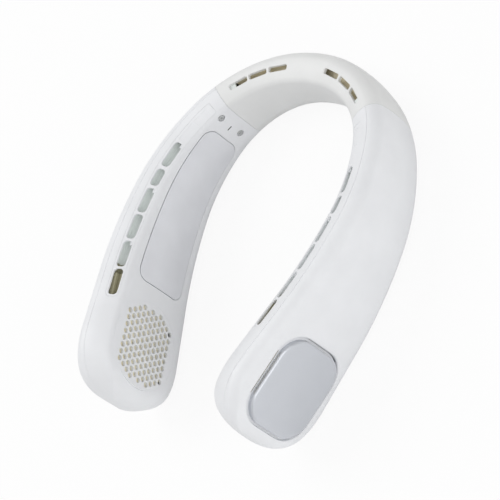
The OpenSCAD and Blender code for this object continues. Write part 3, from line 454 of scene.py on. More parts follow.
def corner_ease(stations, start, end, radius, keep=0.02):
    """How far a rounded corner pulls the edge in: the radius less the height of its circle."""
    d = np.clip(np.minimum(stations - start, end - stations), 0, radius)
    height = np.sqrt(np.maximum(radius**2 - (radius - d) ** 2, 0))
    return np.minimum(radius - height, radius - keep)


# %% [markdown]
# ## Finishes
# The fan is nearly all white, so its finishes have to differ quietly. The shells are satin ABS with
# a fine spark-eroded texture. The bridge is a softer, slightly warmer grade. The plates are blasted
# and anodised aluminium, and the caps are painted. Each one has a faint mottle in its colour and a
# bump in its surface, both on Object coordinates, so they keep still when a part moves.

# %% Material maker
REFRACTION = 1.46
BUMP_HEIGHT = 0.2 * MM
CLOUD_DETAIL, GRAIN_DETAIL = 3, 2
MOTTLE_FROM, MOTTLE_TO = 0.3, 0.7
POLISH_SPREAD = 0.07


def finish(
    name,
    color,
    roughness=0.45,
    metallic=0.0,
    mottle=0.02,
    scale=60.0,
    grain=2500.0,
    bump=0.06,
):
    """A surface with a cloudy mottle in colour and roughness, and a fine grain as bump."""
    material = bpy.data.materials.new(name)
    material.use_nodes = True
    nodes, links = material.node_tree.nodes, material.node_tree.links
    shader = nodes["Principled BSDF"]
    shader.inputs["Metallic"].default_value = metallic
    shader.inputs["IOR"].default_value = REFRACTION
    place = nodes.new("ShaderNodeTexCoord")
    clouds = nodes.new("ShaderNodeTexNoise")
    clouds.inputs["Scale"].default_value = scale
    clouds.inputs["Detail"].default_value = CLOUD_DETAIL
    links.new(place.outputs["Object"], clouds.inputs["Vector"])
    tint = nodes.new("ShaderNodeValToRGB")
    dim, bright = tint.color_ramp.elements
    dim.position, bright.position = MOTTLE_FROM, MOTTLE_TO
    dim.color = (*[c * (1 - mottle) for c in color], 1)
    bright.color = (*[min(1, c * (1 + mottle)) for c in color], 1)
    links.new(clouds.outputs["Fac"], tint.inputs["Fac"])
    links.new(tint.outputs["Color"], shader.inputs["Base Color"])
    polish = nodes.new("ShaderNodeMapRange")
    polish.inputs["To Min"].default_value = roughness * (1 - POLISH_SPREAD)
    polish.inputs["To Max"].default_value = roughness * (1 + POLISH_SPREAD)
    links.new(clouds.outputs["Fac"], polish.inputs["Value"])
    links.new(polish.outputs["Result"], shader.inputs["Roughness"])
    sparks = nodes.new("ShaderNodeTexNoise")
    sparks.inputs["Scale"].default_value = grain
    sparks.inputs["Detail"].default_value = GRAIN_DETAIL
    links.new(place.outputs["Object"], sparks.inputs["Vector"])
    relief = nodes.new("ShaderNodeBump")
    relief.inputs["Strength"].default_value = bump
    relief.inputs["Distance"].default_value = BUMP_HEIGHT
    links.new(sparks.outputs["Fac"], relief.inputs["Height"])
    links.new(relief.outputs["Normal"], shader.inputs["Normal"])
    return material


# %% Finishes of the outside
SHELL = finish("satin white shell", (0.84, 0.85, 0.87), roughness=0.42)
STRIP = finish("satin white strip", (0.85, 0.86, 0.88), roughness=0.46)
BRIDGE = finish("soft white bridge", (0.81, 0.815, 0.81), roughness=0.5, grain=1800, bump=0.08)
PLATE = finish(
    "blasted aluminium",
    (0.79, 0.80, 0.83),
    roughness=0.30,
    metallic=1.0,
    mottle=0.03,
    grain=5000,
    bump=0.12,
)
CAP = finish(
    "silver paint",
    (0.62, 0.64, 0.68),
    roughness=0.34,
    metallic=0.45,
    mottle=0.015,
    grain=6000,
    bump=0.05,
)
# The screw caps at the bottom of the screw wells are coloured mid grey, far darker than the white
# shell: painted shade of the wells.
SCREW_WITH_PAINTED_SHADE = finish("grey screw cap with painted well shade", (0.50, 0.51, 0.51), roughness=0.5)
LENS = finish("smoked light guide", (0.05, 0.055, 0.06), roughness=0.2, mottle=0.05)

# %% Finishes of the inside
CREAM = finish("cream duct plastic", (0.72, 0.66, 0.50), roughness=0.6, mottle=0.06)
FILTER = finish(
    "filter cloth",
    (0.86, 0.79, 0.58),
    roughness=0.85,
    mottle=0.12,
    scale=900,
    grain=3000,
    bump=0.5,
)
OLIVE = finish("olive housing plastic", (0.34, 0.32, 0.21), roughness=0.55, mottle=0.08)
DUCT = finish("pale duct plastic", (0.80, 0.84, 0.82), roughness=0.55, mottle=0.03)
DARK = finish("black plastic", (0.02, 0.02, 0.022), roughness=0.5, mottle=0.15)
ROTOR = finish("grey rotor plastic", (0.06, 0.06, 0.06), roughness=0.5, mottle=0.1)
CERAMIC = finish("ceramic", (0.8, 0.8, 0.77), roughness=0.6)
WRAP = finish("cell wrap", (0.03, 0.09, 0.28), roughness=0.35, mottle=0.05)
BOARD = finish("circuit board", (0.012, 0.10, 0.035), roughness=0.4, mottle=0.25, scale=700)
METALS = {
    "plain steel": ((0.55, 0.56, 0.57), 0.3, 0.05, 60),
    "cast aluminium": ((0.66, 0.67, 0.68), 0.4, 0.05, 60),
    "copper winding": ((0.62, 0.25, 0.11), 0.4, 0.15, 1500),
    "sintered bronze": ((0.46, 0.29, 0.12), 0.55, 0.12, 60),
}
STEEL, SINK, COPPER, BRONZE = [
    finish(name, color, roughness=rough, metallic=1.0, mottle=mottle, scale=scale)
    for name, (color, rough, mottle, scale) in METALS.items()
]

# %% [markdown]
# ## Arm shells
# Each arm is closed by two shells that meet on the parting line, an inner one towards the neck and
# an outer one. A shell is a cup: the section's outline is carried along the arm, once for the outside
# and once for the inside, and both surfaces run together to a pole at the tip. The edges that meet
# are softened a little, as mould edges are, so the parting line shows as a fine groove.

# %% Outlines of the section
SOFT_EDGE, PART_GAP = 0.22, 0.06
EDGE_ROLL = np.array([[0.0, 0.35, 1.0]])
TOP_START = 0.5


def shares(count):
    """A row of shares from zero to one."""
    return np.linspace(0, 1, count)[None, :]


def outline_parts(*parts):
    """Joins runs of (depth, height) arrays, each with a row for each station."""
    runs = [np.broadcast_arrays(n, z) for n, z in parts]
    return tuple(np.concatenate(rows, axis=1) for rows in zip(*runs))


def quarter(n, z, radius, start, end, count=14):
    """A run round a corner: its centre plus the radius times the cosine and sine of the turn."""
    a = np.radians(np.linspace(start, end, count))[None, :]
    return n + radius * np.cos(a), z + radius * np.sin(a)


def inner_outline(s, off):
    """Upper side, upper inner corner, face, lower inner corner and lower edge, at an offset."""
    s = s[:, None]
    y = band_line(s)[1]
    up, down, part = half_up(y), half_down(y), part_depth(s) - PART_GAP / 2
    edge = SOFT_EDGE if off == 0 else 0.0
    b = LOW_IN_R
    length = top_reach(s)[1]
    corner = TOP_IN_R * (math.pi / 2 - TOP_STEEP)
    wide = TOP_START + (length - TOP_START) * shares(22)
    tight = length + corner * shares(11)[:, 1:]
    n_top, share = top_point(s, np.concatenate([wide, tight], axis=1), off)
    z_top = share * up
    face = shares(36)[:, 1:-1]
    low_flat = (b + part - edge) / 2
    return outline_parts(
        (part - edge * EDGE_ROLL, up - off - edge * EDGE_ROLL[:, ::-1]),
        (n_top, z_top),
        (off + 0 * face, z_top[:, -1:] * (1 - face) - (down - b) * face),
        quarter(b, b - down, b - off, 180, 270),
        (low_flat, off - down + 0 * low_flat),
        (part - edge * EDGE_ROLL[:, ::-1], off - down + edge * EDGE_ROLL),
    )


def outer_outline(s, off):
    """Lower edge, lower outer corner, face, upper outer corner and upper edge, at an offset."""
    s = s[:, None]
    y = band_line(s)[1]
    up, down, part, t = half_up(y), half_down(y), part_depth(s) + PART_GAP / 2, thick(s)
    edge = SOFT_EDGE if off == 0 else 0.0
    r, b = TOP_OUT_R, LOW_OUT_R
    face = shares(34)[:, 1:-1]
    return outline_parts(
        (part + edge * EDGE_ROLL, off - down + edge * EDGE_ROLL[:, ::-1]),
        quarter(t - b, b - down, b - off, 270, 360),
        (t - off + 0 * face, (b - down) * (1 - face) + (up - r) * face),
        quarter(t - r, up - r, r - off, 0, 90),
        (part + edge * EDGE_ROLL[:, ::-1], up - off - edge * EDGE_ROLL),
    )


# %% Rings of an arm, with a rounded tip
SEAM_S, SEAM_GAP = 52.1, 0.12
TIP_ROUND, TIP_NOSE, TIP_POWER = 34.2, 15.0, 2.28
ARM_STEPS, TIP_STEPS = 121, 34


def tip_share(s, cut, length):
    """Superellipse: one up to the tip's rounding, then falling to zero at the very end."""
    u = np.clip((s - (BAND_LENGTH - length)) / (length - cut), 0, 1)
    return np.maximum(0, 1 - u**TIP_POWER) ** (1 / TIP_POWER)


def arm_stations(off):
    """Even steps along the arm, then steps that crowd towards the tip like a sine."""
    round_from = BAND_LENGTH - TIP_ROUND
    even = np.linspace(SEAM_S + SEAM_GAP / 2, round_from, ARM_STEPS)[:-1]
    crowded = np.sin(np.linspace(0, math.pi / 2, TIP_STEPS)[:-1])
    return np.concatenate([even, round_from + (TIP_ROUND - off) * crowded])


def arm_rings(outline, off):
    """Rings of a shell: the outline at each station, shrunk towards the parting line in the tip."""
    stations = arm_stations(off)
    n, z = outline(stations, off)
    s = stations[:, None]
    part = part_depth(s)
    n = part + (n - part) * tip_share(s, off, TIP_NOSE)
    return band_point(s, n, height_share(s, z) * tip_share(s, off, TIP_ROUND))


def arm_pole(off):
    """The point at the very end of an arm, where its rings run together."""
    return band_point(BAND_LENGTH - off, part_depth(BAND_LENGTH - off), 0.0)[None]


def cup(outline):
    """An open shell: outer rings, inner rings, both closed at the tip, joined by their rims."""
    outer, inner = arm_rings(outline, 0), arm_rings(outline, WALL)
    k, m, _ = outer.shape
    a = np.arange(k * m).reshape(k, m)
    b = a + k * m
    tip_a, tip_b = 2 * k * m, 2 * k * m + 1
    faces = [
        grid_faces(k, m),
        grid_faces(k, m, first=k * m)[:, ::-1],
        strip_faces(b[0], a[0]),
        strip_faces(a[:, 0], b[:, 0]),
        strip_faces(b[:, -1], a[:, -1]),
        np.stack([a[-1, 1:], a[-1, :-1], np.full(m - 1, tip_a)], axis=-1),
        np.stack([b[-1, :-1], b[-1, 1:], np.full(m - 1, tip_b)], axis=-1),
        np.array([[a[-1, 0], tip_a, tip_b, b[-1, 0]], [a[-1, -1], b[-1, -1], tip_b, tip_a]]),
    ]
    layers = [outer.reshape(-1, 3), inner.reshape(-1, 3), arm_pole(0), arm_pole(WALL)]
    return np.concatenate(layers), faces


# %% [markdown]
# ## What is cut into the shells
# The inner shell has a shallow groove for the vent strip, the vents themselves, a pocket for the
# cooling plate, the round seat of the grille, two screw wells and the slit of the indicator. The
# outer shell has the square well of the cap, and on the left arm a hole for the button and one
# for the charging socket.

# %% Sizes on the inner shell
STRIP_FROM, STRIP_TO, STRIP_HALF, STRIP_DEPTH, STRIP_GAP = 58.6, 179.5, 4.2, 1.0, 0.08
STRIP_FAN_R, STRIP_NAPE_R = 3.4, 1.0
VENTS = ((83.6, 98.2), (100.2, 110.2), (112, 127), (128.4, 143.4), (145, 160.6), (162, 178))
BLINDS = ((61.4, 70.2), (71, 82))
VENT_WIDTH, VENT_R = 5.8, 2.2
BLIND_WIDTH, BLIND_R = 4.6, 0.7
TABS, TAB_LENGTH, TAB_REACH, TAB_ROOT, TAB_R = (0, 2, 4), 2.5, 2.6, 0.8, 0.3
PLATE_FROM, PLATE_TO, PLATE_UP, PLATE_DOWN, PLATE_R = 67.3, 163.2, 0.314, 0.281, 6.5
PLATE_GAP, PLATE_POCKET, PLATE_BACK, PLATE_PROUD = 0.3, 1.4, 1.2, 0.15
GRILLE_R, GRILLE_GAP, GRILLE_COUNT = 24.6, 0.03, 32
WELLS, WELL_R, WELL_DEPTH = ((59.3, 12.1), (59.3, -5.0)), 2.0, 1.5
SLIT_PLACE, SLIT_SIZE, SLIT_COUNT = (60.9, 3.4), (3.2, 0.7, 0.34), 5
CLEAR = 1.0
THROUGH = [(-CLEAR, 0.0), (WALL + CLEAR, 0.0)]


# %% Cutters of the inner shell
def strip_slab(gap, front, back):
    """The vent strip grown by a gap: a long band on the upper side, nearly square at the nape and
    round at the fan."""
    half, radius = STRIP_HALF + gap, STRIP_FAN_R + gap
    start, end = STRIP_FROM - gap, STRIP_TO + gap
    s = eased_stations(start, end, radius, middle=110, turn=12)
    fan_ease = corner_ease(s, start - radius, end, radius)
    nape_ease = corner_ease(s, start, end + radius, STRIP_NAPE_R + gap)
    edge = half - np.maximum(fan_ease, nape_ease)
    return slab(VENT_SURFACE, s, -edge, edge, front, back, across=12)


def plate_slab(gap, front, back):
    """The cooling plate grown by a gap: its edges are shares of the band's height there."""
    start, end, radius = PLATE_FROM - gap, PLATE_TO + gap, PLATE_R + gap
    s = eased_stations(start, end, radius, middle=80, turn=12)
    y = band_line(s)[1]
    height = half_up(y) + half_down(y)
    ease = corner_ease(s, start, end, radius)
    low, high = ease - gap - PLATE_DOWN * height, PLATE_UP * height + gap - ease
    return slab(inner_face, s, low, high, front, back, across=26)


def inner_shell_cutters():
    """Groups of cutters: those in one group don't touch each other."""
    wide_vents = [(STRIP_DEPTH - 0.3, 0.7), (WALL + CLEAR, 0.5)]
    well = [(-CLEAR, 0.2), (0.0, 0.2), (0.2, 0.0), (WELL_DEPTH, 0.0)]
    seat = round_size(GRILLE_R + GRILLE_GAP)
    return [
        [strip_slab(STRIP_GAP, -CLEAR, STRIP_DEPTH), plate_slab(PLATE_GAP, -CLEAR, PLATE_POCKET)],
        [plugs_along(VENT_SURFACE, VENTS, VENT_WIDTH, VENT_R, wide_vents)],
        [
            plug(inner_face, (FAN_S, FAN_Z), seat, THROUGH, count=GRILLE_COUNT),
            *[plug(inner_face, place, round_size(WELL_R), well) for place in WELLS],
            plug(inner_face, SLIT_PLACE, SLIT_SIZE, THROUGH, count=SLIT_COUNT),
        ],
    ]


def tab_plugs():
    """Webs left standing behind every other vent, at its nape end and on the side of the plate."""
    along = TAB_LENGTH / 2 - TAB_ROOT
    v = TAB_REACH / 2 - VENT_WIDTH / 2 - TAB_ROOT
    size = (TAB_LENGTH + TAB_ROOT, TAB_REACH, TAB_R)
    depths = [(STRIP_DEPTH + 0.02, 0.0), (WALL - 0.1, 0.0)]
    return several([plug(VENT_SURFACE, (VENTS[k][0] + along, v), size, depths) for k in TABS])


# %% Cutters of the outer shell
CAP_S, CAP_Z, WELL_Z = FAN_S - 2.0, -2.1, -1.5
CAP_LENGTH, CAP_HEIGHT, CAP_R, CAP_GAP, CAP_COUNT = 49.2, 44.4, 13.8, 1.5, 20
CONTROL_S, BUTTON_Z, SOCKET_Z = 80.0, 4.0, -9.0
BUTTON_R, BUTTON_GAP = 4.0, 0.15
SOCKET_LENGTH, SOCKET_HEIGHT = 9.1, 3.4
WELL_ROLL, HOLE_ROLL, HAIR = 1.3, 0.3, 0.01


def rounded_mouth(radius, steps=6):
    """A profile whose growth falls like a quarter circle, so that the mouth of a hole through the
    wall is rolled."""
    turn = np.linspace(0, math.pi / 2, steps)
    roll = [(radius * (1 - math.cos(a)), radius * (1 - math.sin(a))) for a in turn]
    return [(-CLEAR, radius), *roll, (WALL + CLEAR, 0.0)]


def outer_shell_cutters(side):
    """The well of the cap, and the two holes of the controls on the left arm."""
    well = (CAP_LENGTH + 2 * CAP_GAP, CAP_HEIGHT + 2 * CAP_GAP, CAP_R + CAP_GAP)
    group = [plug(outer_face, (CAP_S, WELL_Z), well, rounded_mouth(WELL_ROLL), count=CAP_COUNT)]
    if side < 0:
        button = round_size(BUTTON_R + BUTTON_GAP, keep=HAIR)
        socket = (SOCKET_LENGTH, SOCKET_HEIGHT, SOCKET_HEIGHT / 2 - HAIR)
        for z, size in ((BUTTON_Z, button), (SOCKET_Z, socket)):
            group.append(plug(outer_face, (CONTROL_S, z), size, rounded_mouth(HOLE_ROLL)))
    return [group]


# %% Build the four arm shells
SIDES = {"right": 1, "left": -1}
for name, side in SIDES.items():
    for kind, outline, groups in (
        ("inner", inner_outline, inner_shell_cutters()),
        ("outer", outer_outline, outer_shell_cutters(side)),
    ):
        shell = mesh_object(f"{name}_{kind}_shell_skin", *mirrored(*cup(outline), side))
        for group in groups:
            carve(shell, *several([mirrored(*cutter, side) for cutter in group]))
        if kind == "inner":
            carve(shell, *mirrored(*tab_plugs(), side), operation="UNION")
        finished(shell, [f"{name}_{kind}_shell"], SHELL)

# %% [markdown]
# ## Neck bridge
# The bridge is one sleeve of softer plastic that flexes when the band is opened. Its outline is
# closed all round. Three slots on each side open into the duct inside. They are nearly
# rectangular, and lie nearer the parting line than those of the arms.

# %% Bridge sizes and rings
BRIDGE_VENTS = ((12.8, 23.4), (24.8, 34.8), (36, 46))
BRIDGE_VENT_WIDTH, BRIDGE_VENT_R = 3.9, 1.0
BRIDGE_END, BRIDGE_STEPS = SEAM_S - SEAM_GAP / 2, 111
NO_EDGE = slice(2, -2)


def bridge_rings(off, stations):
    """The whole outline at each station: the inner run, then the outer one, both without the
    softened edges of the parting line."""
    way = np.abs(stations)
    runs = zip(inner_outline(way, off), outer_outline(way, off))
    n, z = [np.concatenate([a[:, NO_EDGE], b[:, NO_EDGE]], axis=1) for a, b in runs]
    return band_point(stations[:, None], n, height_share(way[:, None], z))


def sleeve(stations):
    """A closed tube: outer rings, inner rings and a ring of faces at each end."""
    outer, inner = bridge_rings(0, stations), bridge_rings(WALL, stations)
    k, m, _ = outer.shape
    a, b = np.arange(m), np.arange(m) + k * m
    last = m * (k - 1)
    faces = [
        grid_faces(k, m, closed=True),
        grid_faces(k, m, first=k * m, closed=True)[:, ::-1],
        ring_faces(b, a),
        ring_faces(a + last, b + last),
    ]
    return np.concatenate([outer.reshape(-1, 3), inner.reshape(-1, 3)]), faces


# %% Build the bridge
bridge_stations = np.linspace(-BRIDGE_END, BRIDGE_END, BRIDGE_STEPS)
bridge = mesh_object("neck_bridge_sleeve", *sleeve(bridge_stations))
slot_profile = [(-CLEAR, 0.35), (0.0, 0.25), (0.3, 0.0), (WALL + CLEAR, -0.05)]
bridge_slots = plugs_along(
    BRIDGE_VENT_SURFACE, BRIDGE_VENTS, BRIDGE_VENT_WIDTH, BRIDGE_VENT_R, slot_profile
)
for side in SIDES.values():
    carve(bridge, *mirrored(*bridge_slots, side))
finished(bridge, ["neck_bridge"], BRIDGE)

# %% [markdown]
# ## Vent strips
# The slots of the arms are moulded in a strip of their own, which is pressed into the groove. The
# two nearest the nape are blind panels. A strip with a hair of shadow all round it reads as a
# separate part, and so it is one here too.

# %% Build the strips
STRIP_PLAY, STRIP_SINK, STRIP_LIFT = -0.02, 0.06, 0.05
vent_profile = [(-CLEAR, 0.3), (0.0, 0.2), (0.35, 0.0), (STRIP_DEPTH + CLEAR, -0.05)]
blind_profile = [(-CLEAR, 0.1), (0.06, 0.1), (0.12, 0.0), (0.2, 0.0)]
strip_bar = strip_slab(STRIP_PLAY, STRIP_SINK, STRIP_DEPTH - STRIP_LIFT)
strip_cuts = several(
    [
        plugs_along(VENT_SURFACE, VENTS, VENT_WIDTH, VENT_R, vent_profile),
        plugs_along(VENT_SURFACE, BLINDS, BLIND_WIDTH, BLIND_R, blind_profile),
    ]
)
for name, side in SIDES.items():
    strip = mesh_object(f"{name}_vent_strip_skin", *mirrored(*strip_bar, side))
    carve(strip, *mirrored(*strip_cuts, side))
    finished(strip, [f"{name}_vent_strip"], STRIP)

# %% [markdown]
# ## Ducts under the vents
# What shows through a vent is the gutter that leads the air along below it. It follows the same
# surface as the vents, a few millimetres deeper, so it is swept with them. Towards the fan it passes
# into the olive mouth of the fan's housing.

# %% Build the ducts
DUCT_FROM, DUCT_TO, MOUTH_TO, DUCT_GAP, DUCT_STEPS = 68.0, 158.0, 166.0, 0.1, 40
BRIDGE_DUCT_FROM, BRIDGE_DUCT_TO, BRIDGE_DUCT_STEPS = 0.5, 42.5, 30
TROUGH_MOUTH, TROUGH_WALL = WALL + 0.05, 0.9
arm_trough = trough(-3.4, 3.4, TROUGH_MOUTH, 5.0, TROUGH_WALL)
bridge_trough = trough(-3.3, 2.0, TROUGH_MOUTH, 5.4, TROUGH_WALL, radius=0.8)
duct_run = np.linspace(DUCT_FROM, DUCT_TO - DUCT_GAP, DUCT_STEPS)
mouth_run = np.linspace(DUCT_TO, MOUTH_TO, DUCT_STEPS)
for name, side in SIDES.items():
    for kind, run, nodes, material, slot in (
        ("air_duct_gutter", duct_run, [f"{name}_air_duct"], DUCT, "duct_cream"),
        ("throat_mouth", mouth_run, [], OLIVE, "housing_olive"),
    ):
        gutter = mirrored(*channel(VENT_SURFACE, run, arm_trough), side)
        finished(mesh_object(f"{name}_{kind}", *gutter), nodes, material)
bridge_run = np.linspace(BRIDGE_DUCT_FROM, BRIDGE_DUCT_TO, BRIDGE_DUCT_STEPS)
half_duct = channel(BRIDGE_VENT_SURFACE, bridge_run, bridge_trough)
bridge_duct = several([mirrored(*half_duct, side) for side in SIDES.values()])
finished(mesh_object("bridge_duct_gutters", *bridge_duct), ["bridge_duct"], CREAM)

# %% [markdown]
# ## Cooling plates
# A plate of anodised aluminium lies on the neck and is cooled from behind. Its front follows the
# crowned face, and its rim is bevelled, which draws a thin light line along its edge.

# %% Build the plates
RIM_WIDTH, RIM_STEPS, RIM_ANGLE = 0.3 * MM, 3, math.radians(50)
plate_blank = plate_slab(0.0, -PLATE_PROUD, PLATE_BACK)
for name, side in SIDES.items():
    plate = mesh_object(f"{name}_cooling_plate_skin", *mirrored(*plate_blank, side))
    rim = plate.modifiers.new("rim", "BEVEL")
    rim.width, rim.segments = RIM_WIDTH, RIM_STEPS
    rim.limit_method, rim.angle_limit = "ANGLE", RIM_ANGLE
    finished(plate, [f"{name}_cooling_plate"], PLATE)

# %% [markdown]
# ## Intake grilles
# A disc with a close-packed field of round holes sits in each arm's end. The disc is laid on the
# crowned face in rings, and the holes are cut in one go. Close packing puts the rows half a step
# apart and the square root of three quarters of a step from each other.

# %% Grille sizes, disc and holes
HOLE_PITCH, ROW_PITCH, HOLE_R, HOLE_KEEP, HOLE_COUNT = 4.04, 3.4, 1.5, 0.001, 6
FIELD_ROWS, FIELD_REACH = 5, 5.58
GRILLE_FRONT, GRILLE_BACK, HOLE_END = 0.05, 1.7, 4.0
DISC_RINGS, DISC_SPOKES = 22, 120


def disc(radius, front, back):
    """Round slab on the fan's axis: rings of points about a middle, at two depths."""
    r = radius * np.arange(1, DISC_RINGS + 1) / DISC_RINGS
    a = np.linspace(0, 2 * math.pi, DISC_SPOKES, endpoint=False)
    s, z = FAN_S + r[:, None] * np.cos(a), FAN_Z + r[:, None] * np.sin(a)
    layers = [inner_face(s, z, off).reshape(-1, 3) for off in (front, back)]
    middles = [inner_face(np.array([FAN_S]), np.array([FAN_Z]), off) for off in (front, back)]
    size = DISC_RINGS * DISC_SPOKES
    rim = np.arange(size - DISC_SPOKES, size)
    first = np.arange(DISC_SPOKES)
    faces = [
        grid_faces(DISC_RINGS, DISC_SPOKES, closed=True),
        grid_faces(DISC_RINGS, DISC_SPOKES, first=size, closed=True)[:, ::-1],
        ring_faces(rim + size, rim),
        fan_faces(first[::-1], 2 * size),
        fan_faces(first + size, 2 * size + 1),
    ]
    return np.concatenate(layers + middles), faces


def hole_field():
    """Places of the holes: whole steps on even rows, and half a step further on odd ones."""
    rows = np.arange(-FIELD_ROWS, FIELD_ROWS + 1)
    steps = np.arange(-FIELD_ROWS - 1, FIELD_ROWS + 2)
    row, step = np.meshgrid(rows, steps, indexing="ij")
    along = step + np.where(row % 2 == 0, 0.0, 0.5)
    inside = np.hypot(along, row * math.sqrt(3) / 2) <= FIELD_REACH
    keep = (np.abs(along) <= FIELD_ROWS) & inside
    return np.stack([along[keep] * HOLE_PITCH, row[keep] * ROW_PITCH], axis=-1)


# %% Build the grilles
hole_profile = [(-CLEAR, 0.12), (0.1, 0.12), (0.24, 0.0), (HOLE_END, 0.0)]
hole_size = round_size(HOLE_R, keep=HOLE_KEEP)
holes = hole_field()
print("grille holes:", len(holes))
hole_cuts = several(
    [
        plug(inner_face, (FAN_S + u, FAN_Z + v), hole_size, hole_profile, count=HOLE_COUNT)
        for u, v in holes
    ]
)
grille_blank = disc(GRILLE_R, GRILLE_FRONT, GRILLE_BACK)
for name, side in SIDES.items():
    grille = mesh_object(f"{name}_grille_disc", *mirrored(*grille_blank, side))
    carve(grille, *mirrored(*hole_cuts, side))
    finished(grille, [f"{name}_intake_grille"], SHELL)

# %% [markdown]
# ## Outer caps
# A nearly square cap with round corners floats in a well on the outside of each arm, and air enters
# round it. It is turned out of one profile: up the side, round a bright bevel and over a shallow
# dome to the middle.

# %% Build the caps
CAP_FOOT, CAP_PROUD, CAP_BEVEL, DOME, CAP_RINGS = 2.6, 0.9, 0.9, 0.7, 14
CAP_SHARP = 25


def cap_solid():
    """Rounded squares stacked from the foot to the top, then shrinking to the middle of the dome,
    which rises by the square of the way from its edge to its middle."""
    top = -CAP_PROUD
    edge = -CAP_BEVEL - 0.25
    profile = [
        (CAP_FOOT, 0.0),
        (top + CAP_BEVEL, 0.0),
        (top + CAP_BEVEL * 0.86, -0.06),
        (top + 0.12, -CAP_BEVEL + 0.12),
        (top, edge),
    ]
    size = (CAP_LENGTH, CAP_HEIGHT, CAP_R)
    outlines = [rounded_outline(*size, grow=grow, count=CAP_COUNT) for _, grow in profile]
    across = np.linspace(1, 0, CAP_RINGS + 1)[1:-1]
    flat = outlines[-1]
    depths = [off for off, _ in profile] + [top - DOME * (1 - share**2) for share in across]
    outlines += [flat * share for share in across]
    return stack(outer_face, (CAP_S, CAP_Z), outlines, depths, (CAP_FOOT, top - DOME))


for name, side in SIDES.items():
    cap = mesh_object(f"{name}_cap_shell", *mirrored(*cap_solid(), side))
    finished(cap, [f"{name}_outer_cap"], CAP, sharp=CAP_SHARP)

# %% [markdown]
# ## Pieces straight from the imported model
# Boards, cells and motors are only seen when the fan is opened, and housings, felts and filters
# through holes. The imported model's own solids serve for them, and get their finishes here.

# %% Finishes of the carried pieces
CARRIED = {
    "bridge_wire": DARK,
    "joint_frame": DUCT,
    # The screw caps get the mid grey that stands for painted shade in their wells.
    "joint_screws": SCREW_WITH_PAINTED_SHADE,
    "light_guide": LENS,
    "cooler_module": CERAMIC,
    "heat_sink": SINK,
    "battery_cells": WRAP,
    "main_board": BOARD,
    "driver_board": BOARD,
    "power_button": CAP,
    "button_switch": DARK,
    "charging_socket": STEEL,
    "dust_filter": FILTER,
    "inlet_ring": OLIVE,
    "fan_housing": OLIVE,
    "fan_stator": COPPER,
    "fan_bearing": BRONZE,
    "fan_shaft": STEEL,
    "impeller": ROTOR,
    "well_tray": SHELL,
    "well_felt": CREAM,
}
for stem, material in CARRIED.items():
    for node in (stem, f"left_{stem}", f"right_{stem}"):
        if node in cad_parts:
            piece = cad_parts[node]
            piece.data.materials.clear()
            piece.data.materials.append(material)
print("carried kinds:", len(CARRIED))

# %% [markdown]
# ## Floor, light and camera
# White things on white need care. The floor glows white for the camera and a little in reflections,
# while the object is lit by a plain sky, brighter on one side, and by two large soft lamps. So its
# own whites stay a little below the background, and its curves still show.

# %% Floor
FLOOR_HALF, FLOOR_POINTS = 4.0, 9
FLOOR_WHITE, FLOOR_ROUGHNESS = 0.9, 0.8
GLOW, MIRROR_GLOW = 0.9, 0.2


def backdrop_material():
    """Matt white, of which a share glows white for the camera, and a smaller one in metal and
    through glass. The rest keeps the shadow of the object."""
    material = bpy.data.materials.new("white sweep")
    material.use_nodes = True
    nodes, links = material.node_tree.nodes, material.node_tree.links
    matt = nodes["Principled BSDF"]
    matt.inputs["Base Color"].default_value = (FLOOR_WHITE, FLOOR_WHITE, FLOOR_WHITE, 1)
    matt.inputs["Roughness"].default_value = FLOOR_ROUGHNESS
    ray = nodes.new("ShaderNodeLightPath")
    share = None
    for output, part in (
        ("Is Camera Ray", GLOW),
        ("Is Glossy Ray", MIRROR_GLOW),
        ("Is Transmission Ray", MIRROR_GLOW),
    ):
        add = nodes.new("ShaderNodeMath")
        add.operation = "MULTIPLY_ADD"
        add.inputs[1].default_value = part
        add.inputs[2].default_value = 0.0
        links.new(ray.outputs[output], add.inputs[0])
        if share:
            links.new(share.outputs["Value"], add.inputs[2])
        share = add
    white = nodes.new("ShaderNodeEmission")
    white.inputs["Strength"].default_value = 1.0
    mix = nodes.new("ShaderNodeMixShader")
    links.new(share.outputs["Value"], mix.inputs["Fac"])
    links.new(matt.outputs["BSDF"], mix.inputs[1])
    links.new(white.outputs["Emission"], mix.inputs[2])
    links.new(mix.outputs["Shader"], nodes["Material Output"].inputs["Surface"])
    return material


floor_side = np.linspace(-FLOOR_HALF, FLOOR_HALF, FLOOR_POINTS)
floor_x, floor_y = np.meshgrid(floor_side, floor_side, indexing="ij")
floor_points = np.stack([floor_x, floor_y, 0 * floor_x], axis=-1).reshape(-1, 3)
floor = mesh_object("floor", floor_points, [grid_faces(FLOOR_POINTS, FLOOR_POINTS)[:, ::-1]])
floor.data.materials.append(backdrop_material())

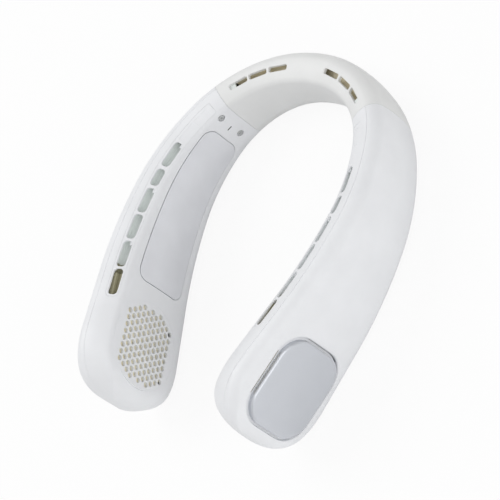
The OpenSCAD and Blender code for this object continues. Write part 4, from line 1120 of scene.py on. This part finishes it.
# %% World and lamps
BRIGHT_SIDE, SKY_DIM, SKY_BRIGHT = (-0.4, -0.1, 0.91), 0.25, 0.75
LAMP_TARGET, LAMP_SIZE = (0, 0, 0.03), 0.9
world = bpy.data.worlds.new("studio")
bpy.context.scene.world = world
world.use_nodes = True
sky_nodes, sky_links = world.node_tree.nodes, world.node_tree.links
sky = sky_nodes["Background"]
sky.inputs["Color"].default_value = (1, 1, 1, 1)
look = sky_nodes.new("ShaderNodeTexCoord")
facing = sky_nodes.new("ShaderNodeVectorMath")
facing.operation = "DOT_PRODUCT"
facing.inputs[1].default_value = BRIGHT_SIDE
sky_links.new(look.outputs["Generated"], facing.inputs[0])
level = sky_nodes.new("ShaderNodeMapRange")
level.inputs["From Min"].default_value = -1.0
level.inputs["To Min"].default_value = SKY_DIM
level.inputs["To Max"].default_value = SKY_BRIGHT
sky_links.new(facing.outputs["Value"], level.inputs["Value"])
sky_links.new(level.outputs["Result"], sky.inputs["Strength"])


def soft_lamp(name, place, power):
    """A square area lamp at a place, turned so that its own -Z axis looks at the object."""
    lamp = bpy.data.lights.new(name, "AREA")
    lamp.energy, lamp.size = power, LAMP_SIZE
    lamp_object = bpy.data.objects.new(name, lamp)
    lamp_object.location = place
    aim = Vector(LAMP_TARGET) - Vector(place)
    lamp_object.rotation_euler = aim.to_track_quat("-Z", "Y").to_euler()
    bpy.context.scene.collection.objects.link(lamp_object)


soft_lamp("key", (-0.9, 0.1, 1.25), 7)
soft_lamp("front", (1.2, -0.3, 0.5), 5)

# %% Camera at the photograph's angle
CAMERA_PLACE, CAMERA_TURN = (0.88263, -0.21766, 0.91284), (26.424, 38.800, 25.043)
camera = bpy.data.cameras.new("camera")
camera.sensor_width = 36
camera.lens = 169.2
camera.clip_start, camera.clip_end = 0.05, 20
camera_object = bpy.data.objects.new("camera", camera)
camera_object.location = CAMERA_PLACE
camera_object.rotation_euler = [math.radians(angle) for angle in CAMERA_TURN]
bpy.context.scene.collection.objects.link(camera_object)
bpy.context.scene.camera = camera_object
bpy.context.scene.view_settings.view_transform = "Standard"
